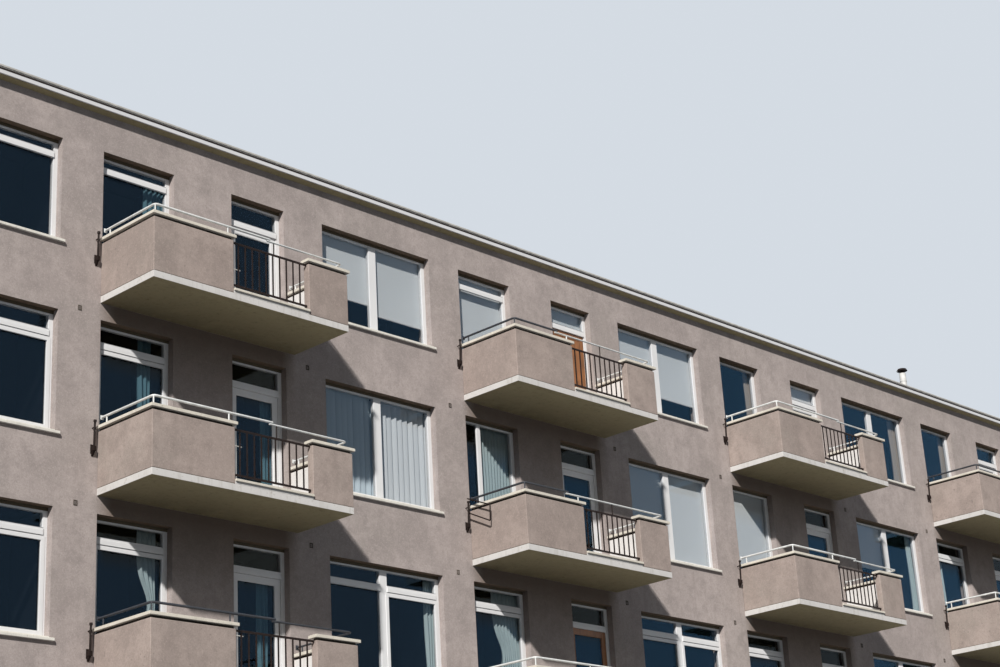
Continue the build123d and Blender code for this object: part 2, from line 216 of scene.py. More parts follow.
class StageSettings(bpy.types.PropertyGroup):
    """Camera, light and floor."""
    lens: FloatProperty(
        name="Lens", description="Focal length of the camera", default=68.74, min=10, unit="CAMERA")
    from_left: FloatProperty(
        name="From left", description="From the block's left end to the camera", default=-6.75, unit="LENGTH")
    from_front: FloatProperty(
        name="From front", description="From the front wall to the camera", default=21.035, unit="LENGTH")
    eye_height: FloatProperty(
        name="Eye height", description="Height of the camera", default=1.59, unit="LENGTH")
    yaw: FloatProperty(
        name="Yaw", description="How far the camera looks to the right", default=0.8161, unit="ROTATION")
    pitch: FloatProperty(
        name="Pitch", description="How far the camera looks up", default=0.3590, unit="ROTATION")
    roll: FloatProperty(name="Roll", description="How far the camera leans", default=-0.0592, unit="ROTATION")
    sun_side: FloatProperty(
        name="Sun side", description="How far to the left of the front the sun stands", default=0.899,
        unit="ROTATION")
    sun_height: FloatProperty(
        name="Sun height", description="Height of the sun", default=0.612, unit="ROTATION")
    sun_strength: FloatProperty(
        name="Sun strength", description="Strength of the sun", default=5.3, min=0)
    sun_size: FloatProperty(
        name="Sun size", description="Apparent size of the sun", default=0.03, unit="ROTATION")
    fill: FloatProperty(name="Fill", description="Strength of the light all round", default=0.2, min=0)
    back_light: FloatProperty(
        name="Back light", description="Strength of the soft light from behind", default=2.2, min=0)
    backdrop: FloatVectorProperty(
        name="Backdrop", description="Plain pale backdrop", subtype="COLOR", size=3,
        default=(0.66, 0.71, 0.77))
    floor: FloatVectorProperty(
        name="Floor", description="Plain pale floor", subtype="COLOR", size=3, default=(0.62, 0.62, 0.61))
    floor_size: FloatProperty(name="Floor size", description="Side of the floor", default=700, unit="LENGTH")


# Modelling helpers

# Angles from which an edge counts as sharp: of blocks, round bars, bent pieces and the ends of bars
block_angle, round_angle = math.radians(35), math.radians(40)
bent_angle, end_angle = math.radians(50), math.radians(60)


def choose(*pieces):
    """Selects only the given pieces, the first of them active."""
    if bpy.context.mode != "OBJECT":
        bpy.ops.object.mode_set(mode="OBJECT")
    bpy.ops.object.select_all(action="DESELECT")
    for piece in pieces:
        piece.select_set(True)
    bpy.context.view_layer.objects.active = pieces[0]


def added(name, scale=(1, 1, 1)):
    """Names the piece that has just been added, scales it and applies its transforms."""
    piece = bpy.context.active_object
    piece.name = name
    piece.scale = scale
    bpy.ops.object.transform_apply(location=True, rotation=True, scale=True)
    return piece


def block(name, low, high):
    """A block between two corners, to be shaped further."""
    bpy.ops.object.select_all(action="DESELECT")
    low, high = Vector(low), Vector(high)
    bpy.ops.mesh.primitive_cube_add(size=1, location=(low + high) / 2)
    return added(name, high - low)


def apply(piece, kind, **values):
    """Adds a modifier with its values and applies it."""
    choose(piece)
    modifier = piece.modifiers.new(kind.title(), kind)
    for key, value in values.items():
        setattr(modifier, key, value)
    bpy.ops.object.modifier_apply(modifier=modifier.name)
    return piece


def soften(piece, width=0.003, segments=2):
    """Rounds a piece's edges."""
    apply(piece, "BEVEL", width=width, segments=segments, limit_method="ANGLE", angle_limit=block_angle)
    return even(piece)


def even(piece):
    """Shades a piece smoothly over its rounded edges and evenly over its flat faces."""
    choose(piece)
    bpy.ops.object.shade_smooth_by_angle(angle=block_angle)
    return apply(piece, "WEIGHTED_NORMAL", keep_sharp=True)


def rod(name, start, end, radius, sides=12):
    """A round bar between two points, its ends rounded off."""
    bpy.ops.object.select_all(action="DESELECT")
    start, end = Vector(start), Vector(end)
    turn = (end - start).to_track_quat("Z", "Y").to_euler()
    bpy.ops.mesh.primitive_cylinder_add(
        vertices=sides, radius=radius, depth=(end - start).length, location=(start + end) / 2, rotation=turn)
    piece = added(name)
    rounding = min(radius * 0.2, 0.003)
    apply(piece, "BEVEL", width=rounding, segments=1, limit_method="ANGLE", angle_limit=end_angle)
    bpy.ops.object.shade_smooth_by_angle(angle=round_angle)
    return piece


def cone(name, middle, bottom, crown, height, sides=40):
    """An upright cone with a flat top, between two radii."""
    bpy.ops.object.select_all(action="DESELECT")
    bpy.ops.mesh.primitive_cone_add(
        vertices=sides, radius1=bottom, radius2=crown, depth=height, location=middle)
    return added(name)


def edit(piece):
    """Opens a piece for editing."""
    choose(piece)
    bpy.ops.object.mode_set(mode="EDIT")


def done():
    """Closes the piece that is being edited."""
    bpy.ops.object.mode_set(mode="OBJECT")


def pick(piece, mode, test):
    """Selects, in edit mode, the faces, edges or vertices that pass a test."""
    bpy.ops.mesh.select_mode(type=mode)
    bpy.ops.mesh.select_all(action="DESELECT")
    mesh = bmesh.from_edit_mesh(piece.data)
    parts = {"FACE": mesh.faces, "EDGE": mesh.edges, "VERT": mesh.verts}[mode]
    for part in parts:
        part.select_set(bool(test(part)))
    bmesh.update_edit_mesh(piece.data)


def cut(piece, point, direction):
    """Cuts a piece's faces along a plane, and keeps both sides."""
    bpy.ops.mesh.select_all(action="SELECT")
    bpy.ops.mesh.bisect(plane_co=point, plane_no=direction)


def draw_out(move):
    """Extrudes what is selected."""
    bpy.ops.mesh.extrude_region_move(TRANSFORM_OT_translate={"value": move})


def ring(name, low, high, face):
    """A flat upright frame: a block with a hole from front to back."""
    piece = block(name, low, high)
    edit(piece)
    pick(piece, "FACE", lambda part: abs(part.normal.y) > 0.9)
    bpy.ops.mesh.inset(thickness=face, use_individual=True)
    bpy.ops.mesh.delete(type="FACE")
    bpy.ops.mesh.select_mode(type="EDGE")
    bpy.ops.mesh.select_non_manifold()
    bpy.ops.mesh.bridge_edge_loops()
    bpy.ops.mesh.select_all(action="SELECT")
    bpy.ops.mesh.normals_make_consistent(inside=False)
    done()
    return piece


def tube(name, points, radius, bend=0.0, sides=3):
    """A round tube along straight runs, with bends between them."""
    points = [Vector(point) for point in points]
    bpy.ops.object.select_all(action="DESELECT")
    bpy.ops.mesh.primitive_plane_add(size=0.01, location=points[0])
    piece = bpy.context.active_object
    edit(piece)
    bpy.ops.mesh.select_mode(type="VERT")
    bpy.ops.mesh.select_all(action="SELECT")
    bpy.ops.mesh.merge(type="CENTER")
    for start, end in zip(points, points[1:]):
        draw_out(end - start)
    if bend and len(points) > 2:
        pick(piece, "VERT", lambda part: len(part.link_edges) == 2)
        bpy.ops.mesh.bevel(offset=bend, segments=4, affect="VERTICES")
    done()
    bpy.ops.object.transform_apply(location=True, rotation=True, scale=True)
    bpy.ops.object.convert(target="CURVE")
    piece = bpy.context.active_object
    piece.data.bevel_depth = radius
    piece.data.bevel_resolution = sides
    piece.data.use_fill_caps = True
    bpy.ops.object.convert(target="MESH")
    piece = bpy.context.active_object
    piece.name = name
    bpy.ops.object.shade_smooth_by_angle(angle=bent_angle)
    return piece


def joined(name, *pieces):
    """Joins pieces into one."""
    choose(*pieces)
    if len(pieces) > 1:
        bpy.ops.object.join()
    piece = bpy.context.active_object
    piece.name = name
    return piece


def twin(piece, name):
    """A copy of a piece, with a mesh of its own."""
    choose(piece)
    bpy.ops.object.duplicate(linked=False)
    copy = bpy.context.active_object
    copy.name = name
    return copy


def at_places(piece, start, places):
    """Repeats a piece that was modelled at one storey and bay at all the given ones."""
    made = []
    for storey, bay in places:
        if (storey, bay) == tuple(start):
            continue
        copy = twin(piece, piece.name)
        along, up = (bay - start[1]) * bay_width, (storey - start[0]) * storey_height
        bpy.ops.transform.translate(value=(along, 0, up))
        bpy.ops.object.transform_apply(location=True, rotation=False, scale=False)
        made.append(copy)
    name = piece.name
    if tuple(start) in places:
        made.insert(0, piece)
    else:
        bpy.data.objects.remove(piece)
    return joined(name, *made)


def finish_piece(piece, slot, *materials):
    """Gives a piece its materials, and lets it ride on the block; its slot is not used."""
    for material in materials:
        piece.data.materials.append(material)
    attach(piece, "root")
    return piece


def paint(node, material, bevel=0.0):
    """Gives a construction node its finish, and rounds its edges a little."""
    piece = nodes[node]
    for holder in piece.material_slots:
        holder.link = "OBJECT"
        holder.material = material
    if bevel:
        weld = piece.modifiers.new("Weld", "WELD")
        weld.merge_threshold = 0.00002
        edges = piece.modifiers.new("Edges", "BEVEL")
        edges.width = bevel
        edges.segments = 2
        edges.limit_method = "ANGLE"
        edges.angle_limit = round_angle


# Materials

class Finish:
    """Builds one material's nodes on object coordinates."""

    def __init__(self, name, colour, roughness, metallic=0.0, specular=0.5):
        self.material = bpy.data.materials.new(name)
        self.material.use_nodes = True
        self.tree = self.material.node_tree
        self.shader = self.tree.nodes["Principled BSDF"]
        self.shader.inputs["Base Color"].default_value = (*colour, 1)
        self.shader.inputs["Roughness"].default_value = roughness
        self.shader.inputs["Metallic"].default_value = metallic
        self.shader.inputs["Specular IOR Level"].default_value = specular
        self.colour = None
        self.normal = None
        self.place = self.tree.nodes.new("ShaderNodeTexCoord").outputs["Object"]

    def stretched(self, x, y, z):
        """Object coordinates scaled along each axis."""
        mapping = self.tree.nodes.new("ShaderNodeMapping")
        mapping.inputs["Scale"].default_value = (x, y, z)
        self.tree.links.new(self.place, mapping.inputs["Vector"])
        return mapping.outputs["Vector"]

    def noise(self, scale, detail=4.0, roughness=0.55, place=None):
        """A cloudy value between 0 and 1."""
        made = self.tree.nodes.new("ShaderNodeTexNoise")
        made.inputs["Scale"].default_value = scale
        made.inputs["Detail"].default_value = detail
        made.inputs["Roughness"].default_value = roughness
        self.tree.links.new(place or self.place, made.inputs["Vector"])
        return made.outputs["Fac"]

    def waves(self, scale, direction, distortion=0.0):
        """Soft bands across one axis."""
        made = self.tree.nodes.new("ShaderNodeTexWave")
        made.wave_type = "BANDS"
        made.bands_direction = direction
        made.inputs["Scale"].default_value = scale
        made.inputs["Distortion"].default_value = distortion
        self.tree.links.new(self.place, made.inputs["Vector"])
        return made.outputs["Fac"]

    def ramp(self, value, start, end, low=0.0, high=1.0):
        """Stretches a value's range from start and end to low and high."""
        made = self.tree.nodes.new("ShaderNodeMapRange")
        made.inputs["From Min"].default_value = start
        made.inputs["From Max"].default_value = end
        made.inputs["To Min"].default_value = low
        made.inputs["To Max"].default_value = high
        self.tree.links.new(value, made.inputs["Value"])
        return made.outputs["Result"]

    def tint(self, amount, colour):
        """Mixes a colour over what is there, by an amount from 0 to 1."""
        mix = self.tree.nodes.new("ShaderNodeMix")
        mix.data_type = "RGBA"
        first, second = [socket for socket in mix.inputs if socket.type == "RGBA"]
        if self.colour is None:
            first.default_value = self.shader.inputs["Base Color"].default_value[:]
        else:
            self.tree.links.new(self.colour, first)
        second.default_value = (*colour, 1)
        self.tree.links.new(amount, mix.inputs[0])
        self.colour = [socket for socket in mix.outputs if socket.type == "RGBA"][0]
        self.tree.links.new(self.colour, self.shader.inputs["Base Color"])

    def stain(self, value, start, end, share, colour):
        """Tints with a colour where a value rises from start to end, up to a share."""
        self.tint(self.ramp(value, start, end, 0.0, share), colour)

    def axis(self, name, vector=None):
        """One of the three object coordinates, or of another vector."""
        apart = self.tree.nodes.new("ShaderNodeSeparateXYZ")
        self.tree.links.new(vector or self.place, apart.inputs[0])
        return apart.outputs[name]

    def math(self, operation, first, second):
        """Arithmetic on a value and a number or a second value."""
        made = self.tree.nodes.new("ShaderNodeMath")
        made.operation = operation
        self.tree.links.new(first, made.inputs[0])
        if isinstance(second, float):
            made.inputs[1].default_value = second
        else:
            self.tree.links.new(second, made.inputs[1])
        return made.outputs[0]

    def downward(self):
        """1 on faces that look down, 0 on the others."""
        return self.ramp(self.axis("Z", self.place.node.outputs["Normal"]), -0.4, -0.8)

    def under_slabs(self, slab):
        """1 close under each balcony slab and 0 elsewhere, from the box of one slab."""
        fade_out, fade_in, reach, near = 0.05, 0.25, 1.1, 0.1
        along = self.math("FLOORED_MODULO", self.math("SUBTRACT", self.axis("X"), left_end), bay_width)
        start, end = slab[0].x - left_end, slab[1].x - left_end
        wide = self.math(
            "MULTIPLY", self.ramp(along, start - fade_out, start + fade_in),
            self.ramp(along, end + fade_out, end - fade_in))
        height = self.axis("Z")
        under = self.math("FLOORED_MODULO", self.math("SUBTRACT", height, slab[0].z), storey_height)
        below_top = self.ramp(height, floor_levels[-1] + fade_out, floor_levels[-1] - fade_out)
        tall = self.math(
            "MULTIPLY", self.ramp(under, storey_height - reach, storey_height - near), below_top)
        return self.math("MULTIPLY", wide, tall)

    def bump(self, value, distance, strength=1.0):
        """Raises the surface by a value, on top of what is there."""
        made = self.tree.nodes.new("ShaderNodeBump")
        made.inputs["Distance"].default_value = distance
        made.inputs["Strength"].default_value = strength
        self.tree.links.new(value, made.inputs["Height"])
        if self.normal is not None:
            self.tree.links.new(self.normal, made.inputs["Normal"])
        self.normal = made.outputs["Normal"]
        self.tree.links.new(self.normal, self.shader.inputs["Normal"])

    def rough(self, value, low, high):
        """Lets a value set the roughness between two limits."""
        self.tree.links.new(self.ramp(value, 0.3, 0.7, low, high), self.shader.inputs["Roughness"])


def scaled(colour, factor):
    """A lighter or darker form of a colour."""
    return tuple(min(1.0, channel * factor) for channel in colour)


def mixed(colour, other, share):
    """A colour moved a share of the way to another."""
    return tuple(a + (b - a) * share for a, b in zip(colour, other))


def render_coat(name, colour, streak=0.5, pocks=0.2, slab=None):
    """Spatterdash: patches, faint runs of rain, grains and pocks, with painted shade on undersides and close
    under slabs.
    """
    grey_patch, underside_shade_brown, under_slab_shade_brown = (0.29, 0.27, 0.24), (0.15, 0.095, 0.05), (0.115, 0.072, 0.04)
    finish = Finish(name, colour, 0.9, specular=0.25)
    finish.stain(finish.noise(0.55, 3.0), 0.42, 0.66, 0.6, mixed(colour, grey_patch, 0.6))
    # Soft patches: scale, detail and roughness of the noise, where it starts and ends, share and brightness
    for scale, detail, roughness, start, end, share, factor in (
            (0.21, 2.0, 0.55, 0.4, 0.62, 0.55, 0.82), (1.3, 5.0, 0.6, 0.44, 0.62, 0.65, 1.26),
            (3.1, 6.0, 0.65, 0.48, 0.64, 0.6, 0.74), (7.5, 6.0, 0.65, 0.48, 0.72, 0.55, 0.78),
            (12.5, 4.0, 0.6, 0.5, 0.74, 0.45, 1.2)):
        finish.stain(finish.noise(scale, detail, roughness), start, end, share, scaled(colour, factor))
    runs = finish.noise(1.0, 5.0, 0.6, finish.stretched(5.5, 5.5, 0.22))
    finish.stain(runs, 0.52, 0.78, streak, scaled(colour, 0.74))
    grains = finish.noise(85.0, 2.0, 0.7)
    finish.stain(grains, 0.5, 0.72, 0.5, scaled(colour, 0.66))
    # Specks and pocks, in the same order
    for scale, detail, roughness, start, end, share, factor in (
            (33.0, 3.0, 0.65, 0.5, 0.68, 0.42, 0.72), (42.0, 2.0, 0.6, 0.54, 0.68, 0.4, 1.3),
            (21.0, 1.0, 0.4, 0.7, 0.76, pocks, 0.5)):
        finish.stain(finish.noise(scale, detail, roughness), start, end, share, scaled(colour, factor))
    # Painted shade: the wall is darker and browner close under each balcony slab
    if slab:
        under_slab_shade = mixed(scaled(colour, 0.42), under_slab_shade_brown, 0.7)
        finish.stain(finish.under_slabs(slab), 0.0, 1.0, 0.85, under_slab_shade)
    # Painted shade: faces that look down, such as the undersides of lintels, are darker and browner
    finish.tint(finish.downward(), mixed(scaled(colour, 0.3), underside_shade_brown, 0.6))
    finish.bump(grains, 0.004, 0.6)
    finish.bump(finish.noise(18.0, 5.0), 0.006, 0.35)
    return finish.material


def weathered_paint(name, colour, dirt_and_shade=(0.24, 0.21, 0.16), amount=0.6, roughness=0.6, slab=None):
    """Masonry paint with grime in runs and blots; on a slab's underside, painted shade that deepens from the
    edge towards the wall.
    """
    finish = Finish(name, colour, roughness, specular=0.35)
    if slab:
        # Painted shade: darker from the slab's edge towards the wall
        from_edge, from_wall = 0.15, 0.1
        start, end = slab[0].y + from_edge, slab[1].y - from_wall
        finish.stain(finish.axis("Y"), start, end, 0.88, mixed(dirt_and_shade, colour, 0.15))
    finish.stain(finish.noise(3.2, 5.0), 0.45, 0.75, 0.5, scaled(colour, 0.82))
    runs = finish.noise(1.0, 6.0, 0.65, finish.stretched(9.0, 9.0, 0.9))
    finish.stain(runs, 0.53, 0.74, amount, mixed(colour, dirt_and_shade, 0.6))
    blots = finish.noise(14.0, 6.0, 0.7)
    finish.stain(blots, 0.58, 0.75, amount, dirt_and_shade)
    finish.bump(finish.noise(40.0, 4.0), 0.003, 0.4)
    finish.rough(blots, roughness - 0.1, min(1.0, roughness + 0.15))
    return finish.material


def cast_stone(name, colour):
    """Cast copings and sills: pale, pitted and lichened."""
    finish = Finish(name, colour, 0.85, specular=0.3)
    finish.stain(finish.noise(4.0, 6.0, 0.6), 0.42, 0.7, 0.6, scaled(colour, 0.76))
    lichen, lichen_brown = finish.noise(26.0, 5.0, 0.7), (0.30, 0.27, 0.20)
    finish.stain(lichen, 0.56, 0.72, 0.6, lichen_brown)
    finish.stain(finish.noise(70.0, 2.0), 0.55, 0.75, 0.5, scaled(colour, 1.25))
    finish.bump(finish.noise(55.0, 4.0), 0.004, 0.5)
    finish.bump(lichen, 0.003, 0.3)
    return finish.material


def gloss_paint(name, colour, wear=(0.42, 0.40, 0.36)):
    """Gloss paint on timber, a little chalky and dusty."""
    finish = Finish(name, colour, 0.38)
    grain = finish.noise(1.0, 5.0, 0.6, finish.stretched(30.0, 30.0, 1.6))
    finish.stain(finish.noise(2.6, 4.0), 0.45, 0.75, 0.35, scaled(colour, 0.86))
    finish.stain(finish.noise(34.0, 5.0, 0.7), 0.6, 0.78, 0.45, wear)
    finish.bump(grain, 0.0015, 0.3)
    finish.rough(finish.noise(6.0, 4.0), 0.3, 0.55)
    return finish.material


def varnished_wood(name, colour):
    """Varnished hardwood with upright grain."""
    finish = Finish(name, colour, 0.4)
    grain = finish.noise(1.0, 7.0, 0.65, finish.stretched(46.0, 46.0, 2.2))
    finish.stain(grain, 0.4, 0.62, 1.0, scaled(colour, 0.5))
    finish.stain(finish.noise(3.0, 4.0), 0.45, 0.7, 0.5, scaled(colour, 1.5))
    finish.bump(grain, 0.0015, 0.4)
    finish.rough(grain, 0.3, 0.6)
    return finish.material


def painted_steel(name, colour, rust=(0.16, 0.055, 0.02), amount=0.6, specular=0.5):
    """Painted steel with rust that breaks through in spots."""
    finish = Finish(name, colour, 0.45, specular=specular)
    finish.stain(finish.noise(9.0, 4.0), 0.45, 0.75, 0.5, scaled(colour, 1.7))
    spots = finish.noise(38.0, 6.0, 0.75)
    finish.stain(spots, 0.57, 0.7, amount, rust)
    finish.bump(spots, 0.002, 0.4)
    finish.rough(spots, 0.38, 0.75)
    return finish.material


def roofing_felt(name, colour):
    """Mineral felt in laid strips."""
    finish = Finish(name, colour, 0.95, specular=0.2)
    finish.stain(finish.noise(0.8, 5.0), 0.4, 0.7, 0.7, scaled(colour, 1.6))
    grit = finish.noise(190.0, 2.0, 0.7)
    finish.stain(grit, 0.5, 0.7, 0.7, scaled(colour, 2.4))
    finish.bump(grit, 0.003, 0.5)
    return finish.material


def window_glass(name, tint, aslant, slab):
    """Clear, wavy panes with a dim sheen whose tint is a painted reflection: blue for the sky, bluer where
    seen aslant, and olive close under a slab for its soffit.
    """
    olive, sheen_share = (0.062, 0.058, 0.042), 0.2
    finish = Finish(name, tint, 0.03, metallic=1.0)
    finish.shader.inputs["Alpha"].default_value = sheen_share
    slant = finish.tree.nodes.new("ShaderNodeLayerWeight").outputs["Facing"]
    finish.stain(slant, 0.28, 0.62, 1.0, aslant)
    # Painted reflection of the soffit: the sheen turns olive close under a slab
    finish.stain(finish.under_slabs(slab), 0.15, 0.45, 0.8, olive)
    finish.bump(finish.noise(1.1, 1.0), 0.004, 0.25)
    finish.material.surface_render_method = "BLENDED"
    return finish.material


def unlit_room(name, colour):
    """Painted shade: the dim inside of an unlit room, or the dark hole of a vent."""
    finish = Finish(name, colour, 0.95, specular=0.0)
    finish.stain(finish.noise(1.6, 3.0), 0.4, 0.7, 1.0, scaled(colour, 2.0))
    return finish.material


def cloth(name, colour, fold_shade_bands=0.0):
    """Woven window cloth, with painted shade in bands for its folds where these are asked for."""
    finish = Finish(name, colour, 0.9, specular=0.1)
    threads = finish.noise(1.0, 2.0, 0.5, finish.stretched(420.0, 420.0, 60.0))
    finish.stain(threads, 0.35, 0.65, 0.35, scaled(colour, 0.8))
    finish.stain(finish.noise(1.2, 3.0), 0.4, 0.7, 0.35, scaled(colour, 0.86))
    # Painted shade: darker bands across the cloth for the shade in its folds
    if fold_shade_bands:
        pleats = finish.waves(fold_shade_bands, "X", 1.0)
        finish.stain(pleats, 0.2, 0.9, 0.22, scaled(colour, 0.72))
    finish.bump(threads, 0.001, 0.5)
    return finish.material


finishes = {}


class APARTMENT_OT_finishes(bpy.types.Operator):
    """Makes the finishes and gives them to the construction nodes that stay in view"""
    bl_idname = "apartment.finishes"
    bl_label = "Finishes"

    def execute(self, context):
        colours = context.scene.block_colours
        finishes["render"] = render_coat("render", colours.render)
        slab = by_place("balcony_slabs")[(0, 0)][0]
        # The front walls get painted shade close under the balcony slabs
        finishes["front_render"] = render_coat("front_render", colours.render, slab=slab)
        finishes["parapet"] = render_coat("parapet_render", colours.parapet, 0.4, 0.5)
        finishes["plinth"] = render_coat("plinth_render", scaled(colours.render, 0.5), 0.6)
        finishes["white_paint"] = weathered_paint("white_masonry_paint", colours.white_paint)
        finishes["inside_paint"] = weathered_paint(
            "parapet_inside_paint", scaled(colours.white_paint, 1.15), amount=0.35)
        finishes["soffit"] = weathered_paint(
            "balcony_soffit", colours.soffit, dirt_and_shade=(0.10, 0.078, 0.045), amount=0.6, roughness=0.8,
            slab=slab)
        finishes["eave_soffit"] = weathered_paint(
            "eave_soffit", scaled(colours.soffit, 0.95), dirt_and_shade=(0.08, 0.07, 0.05), amount=0.6, roughness=0.8)
        finishes["coping"] = cast_stone("coping_stone", colours.coping)
        finishes["joinery"] = gloss_paint("joinery_paint", colours.joinery)
        finishes["wood"] = varnished_wood("varnished_wood", colours.wood)
        finishes["sill"] = cast_stone("sill_stone", colour=(0.68, 0.66, 0.61))
        # Near-black bed under the copings: painted shade for the shadowed gap there
        finishes["joint"] = render_coat("coping_bed_painted_shade", colour=(0.035, 0.028, 0.022))
        # Near-black head boards: painted shade under the window and door heads
        finishes["head"] = weathered_paint(
            "head_board_painted_shade", colour=(0.060, 0.046, 0.026), dirt_and_shade=(0.03, 0.025, 0.015))
        finishes["steel"] = painted_steel(
            "railing_paint", colours.steel, rust=(0.11, 0.042, 0.02), amount=0.5, specular=0.15)
        finishes["handrail"] = painted_steel(
            "handrail_paint", colours.handrail, rust=(0.25, 0.19, 0.13), amount=0.35)
        finishes["dark_handrail"] = painted_steel(
            "dark_handrail_paint", colour=(0.035, 0.038, 0.046), rust=(0.07, 0.05, 0.04), amount=0.3,
            specular=0.3)
        finishes["iron"] = painted_steel(
            "bracket_iron", colours.steel, rust=(0.07, 0.03, 0.015), amount=0.3, specular=0.15)
        finishes["fascia"] = gloss_paint("fascia_paint", colours.fascia)
        finishes["trim"] = painted_steel(
            "edge_trim", colour=(0.40, 0.39, 0.37), rust=(0.2, 0.17, 0.13), amount=0.5)
        finishes["felt"] = roofing_felt("roofing_felt", colours.roof)
        finishes["flue"] = painted_steel(
            "flue_paint", colour=(0.55, 0.55, 0.54), rust=(0.22, 0.15, 0.1), amount=0.5)
        finishes["glass"] = window_glass("window_glass", colours.glass, colours.glass_aslant, slab)
        finishes["room"] = unlit_room("unlit_room", colours.room)
        # Vent grilles near-black: painted shade for the holes behind them
        finishes["vent"] = unlit_room("vent_hole_shade", colour=(0.085, 0.072, 0.062))
        finishes["concrete"] = cast_stone("floor_concrete", colour=(0.33, 0.32, 0.30))
        finishes["blind"] = cloth("blind_cloth", colours.blind)
        finishes["white_blind"] = cloth("white_blind_cloth", scaled(colours.blind, 1.2))
        finishes["slats"] = cloth("slat_cloth", mixed(colours.blind, (0.80, 0.86, 0.92), 0.5))
        # A bluer cloth for slats in shade: painted shade with a painted sky reflection
        finishes["shaded_slats"] = cloth("slat_cloth_painted_shade", colour=(0.78, 0.91, 1.0))
        finishes["net"] = cloth("net_curtain_cloth", colour=(0.46, 0.57, 0.59), fold_shade_bands=3.0)
        finishes["blue"] = cloth("blue_curtain_cloth", colour=(0.11, 0.22, 0.27), fold_shade_bands=3.0)
        finishes["beige"] = cloth("beige_curtain_cloth", colour=(0.36, 0.32, 0.28), fold_shade_bands=3.0)

        for storey in range(1, storeys + 1):
            paint(f"front_wall_{storey}", finishes["front_render"])
            paint(f"back_wall_{storey}", finishes["render"])
        paint("party_wall_left", finishes["render"])
        paint("party_wall_right", finishes["render"])
        paint("plinth", finishes["plinth"])
        paint("floors", finishes["concrete"])
        paint("roof_slab", finishes["concrete"])
        paint("roof_deck", finishes["felt"])
        paint("eave_soffits", finishes["eave_soffit"])
        paint("fascia_boards", finishes["fascia"], bevel=0.003)
        paint("roof_edge_trim", finishes["trim"], bevel=0.003)
        paint("gable_trim", finishes["trim"], bevel=0.003)
        paint("railing_kerbs", finishes["white_paint"], bevel=0.004)
        paint("kerb_caps", finishes["coping"], bevel=0.005)
        paint("railing_rails", finishes["steel"], bevel=0.003)
        paint("railing_bars", finishes["steel"], bevel=0.002)
        paint("window_frames", finishes["joinery"], bevel=0.003)
        paint("window_mullions", finishes["joinery"], bevel=0.003)
        paint("balcony_door_frames", finishes["joinery"], bevel=0.003)
        paint("back_window_frames", finishes["joinery"], bevel=0.003)
        paint("entrance_doors", finishes["wood"], bevel=0.003)
        for node in ("window_glass", "door_glass", "back_window_glass"):
            paint(node, finishes["glass"])
        return {"FINISHED"}


# Balconies

class APARTMENT_OT_balcony_slabs(bpy.types.Operator):
    """Models a balcony slab with the seams in its edge and repeats it"""
    bl_idname = "apartment.balcony_slabs"
    bl_label = "Balcony slabs"

    def execute(self, context):
        low, high = by_place("balcony_slabs")[(0, 0)][0]
        gap_end = by_place("kerb_caps")[(0, 0)][0][1].x
        seams = [gap_end - 0.95, gap_end - 0.34, gap_end]
        half_seam, seam_depth = 0.003, 0.006
        slab = soften(block("balcony_slab_bodies", low, high), 0.005)
        edit(slab)
        for x in seams:
            for edge in (x - half_seam, x + half_seam):
                cut(slab, (edge, 0, 0), (1, 0, 0))
        pick(slab, "FACE", lambda part: part.normal.y < -0.9 and any(
            abs(part.calc_center_median().x - x) < half_seam for x in seams))
        draw_out((0, seam_depth, 0))
        done()
        even(slab)
        slab.data.materials.append(finishes["white_paint"])
        slab.data.materials.append(finishes["soffit"])
        for face in slab.data.polygons:
            face.material_index = 1 if face.normal.z < -0.6 else 0
        slab = at_places(slab, (0, 0), all_places)
        finish_piece(slab, "painted_concrete")
        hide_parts("balcony_slabs")
        return {"FINISHED"}


def corner(name, side, front):
    """An L on plan: the side arm and the front arm of a parapet or coping, from the boxes of the two."""
    low = Vector((side[0].x, front[0].y, side[0].z))
    high = Vector((side[1].x, side[1].y, side[1].z))
    piece = block(name, low, high)
    rightwards = front[1].x > side[1].x + 0.01
    reach = front[1].x - high.x if rightwards else front[0].x - low.x
    turn = 1 if rightwards else -1
    edit(piece)
    cut(piece, (0, front[1].y, 0), (0, 1, 0))
    pick(piece, "FACE", lambda part: part.normal.x * turn > 0.9 and part.calc_center_median().y < front[1].y)
    draw_out((reach, 0, 0))
    done()
    return piece


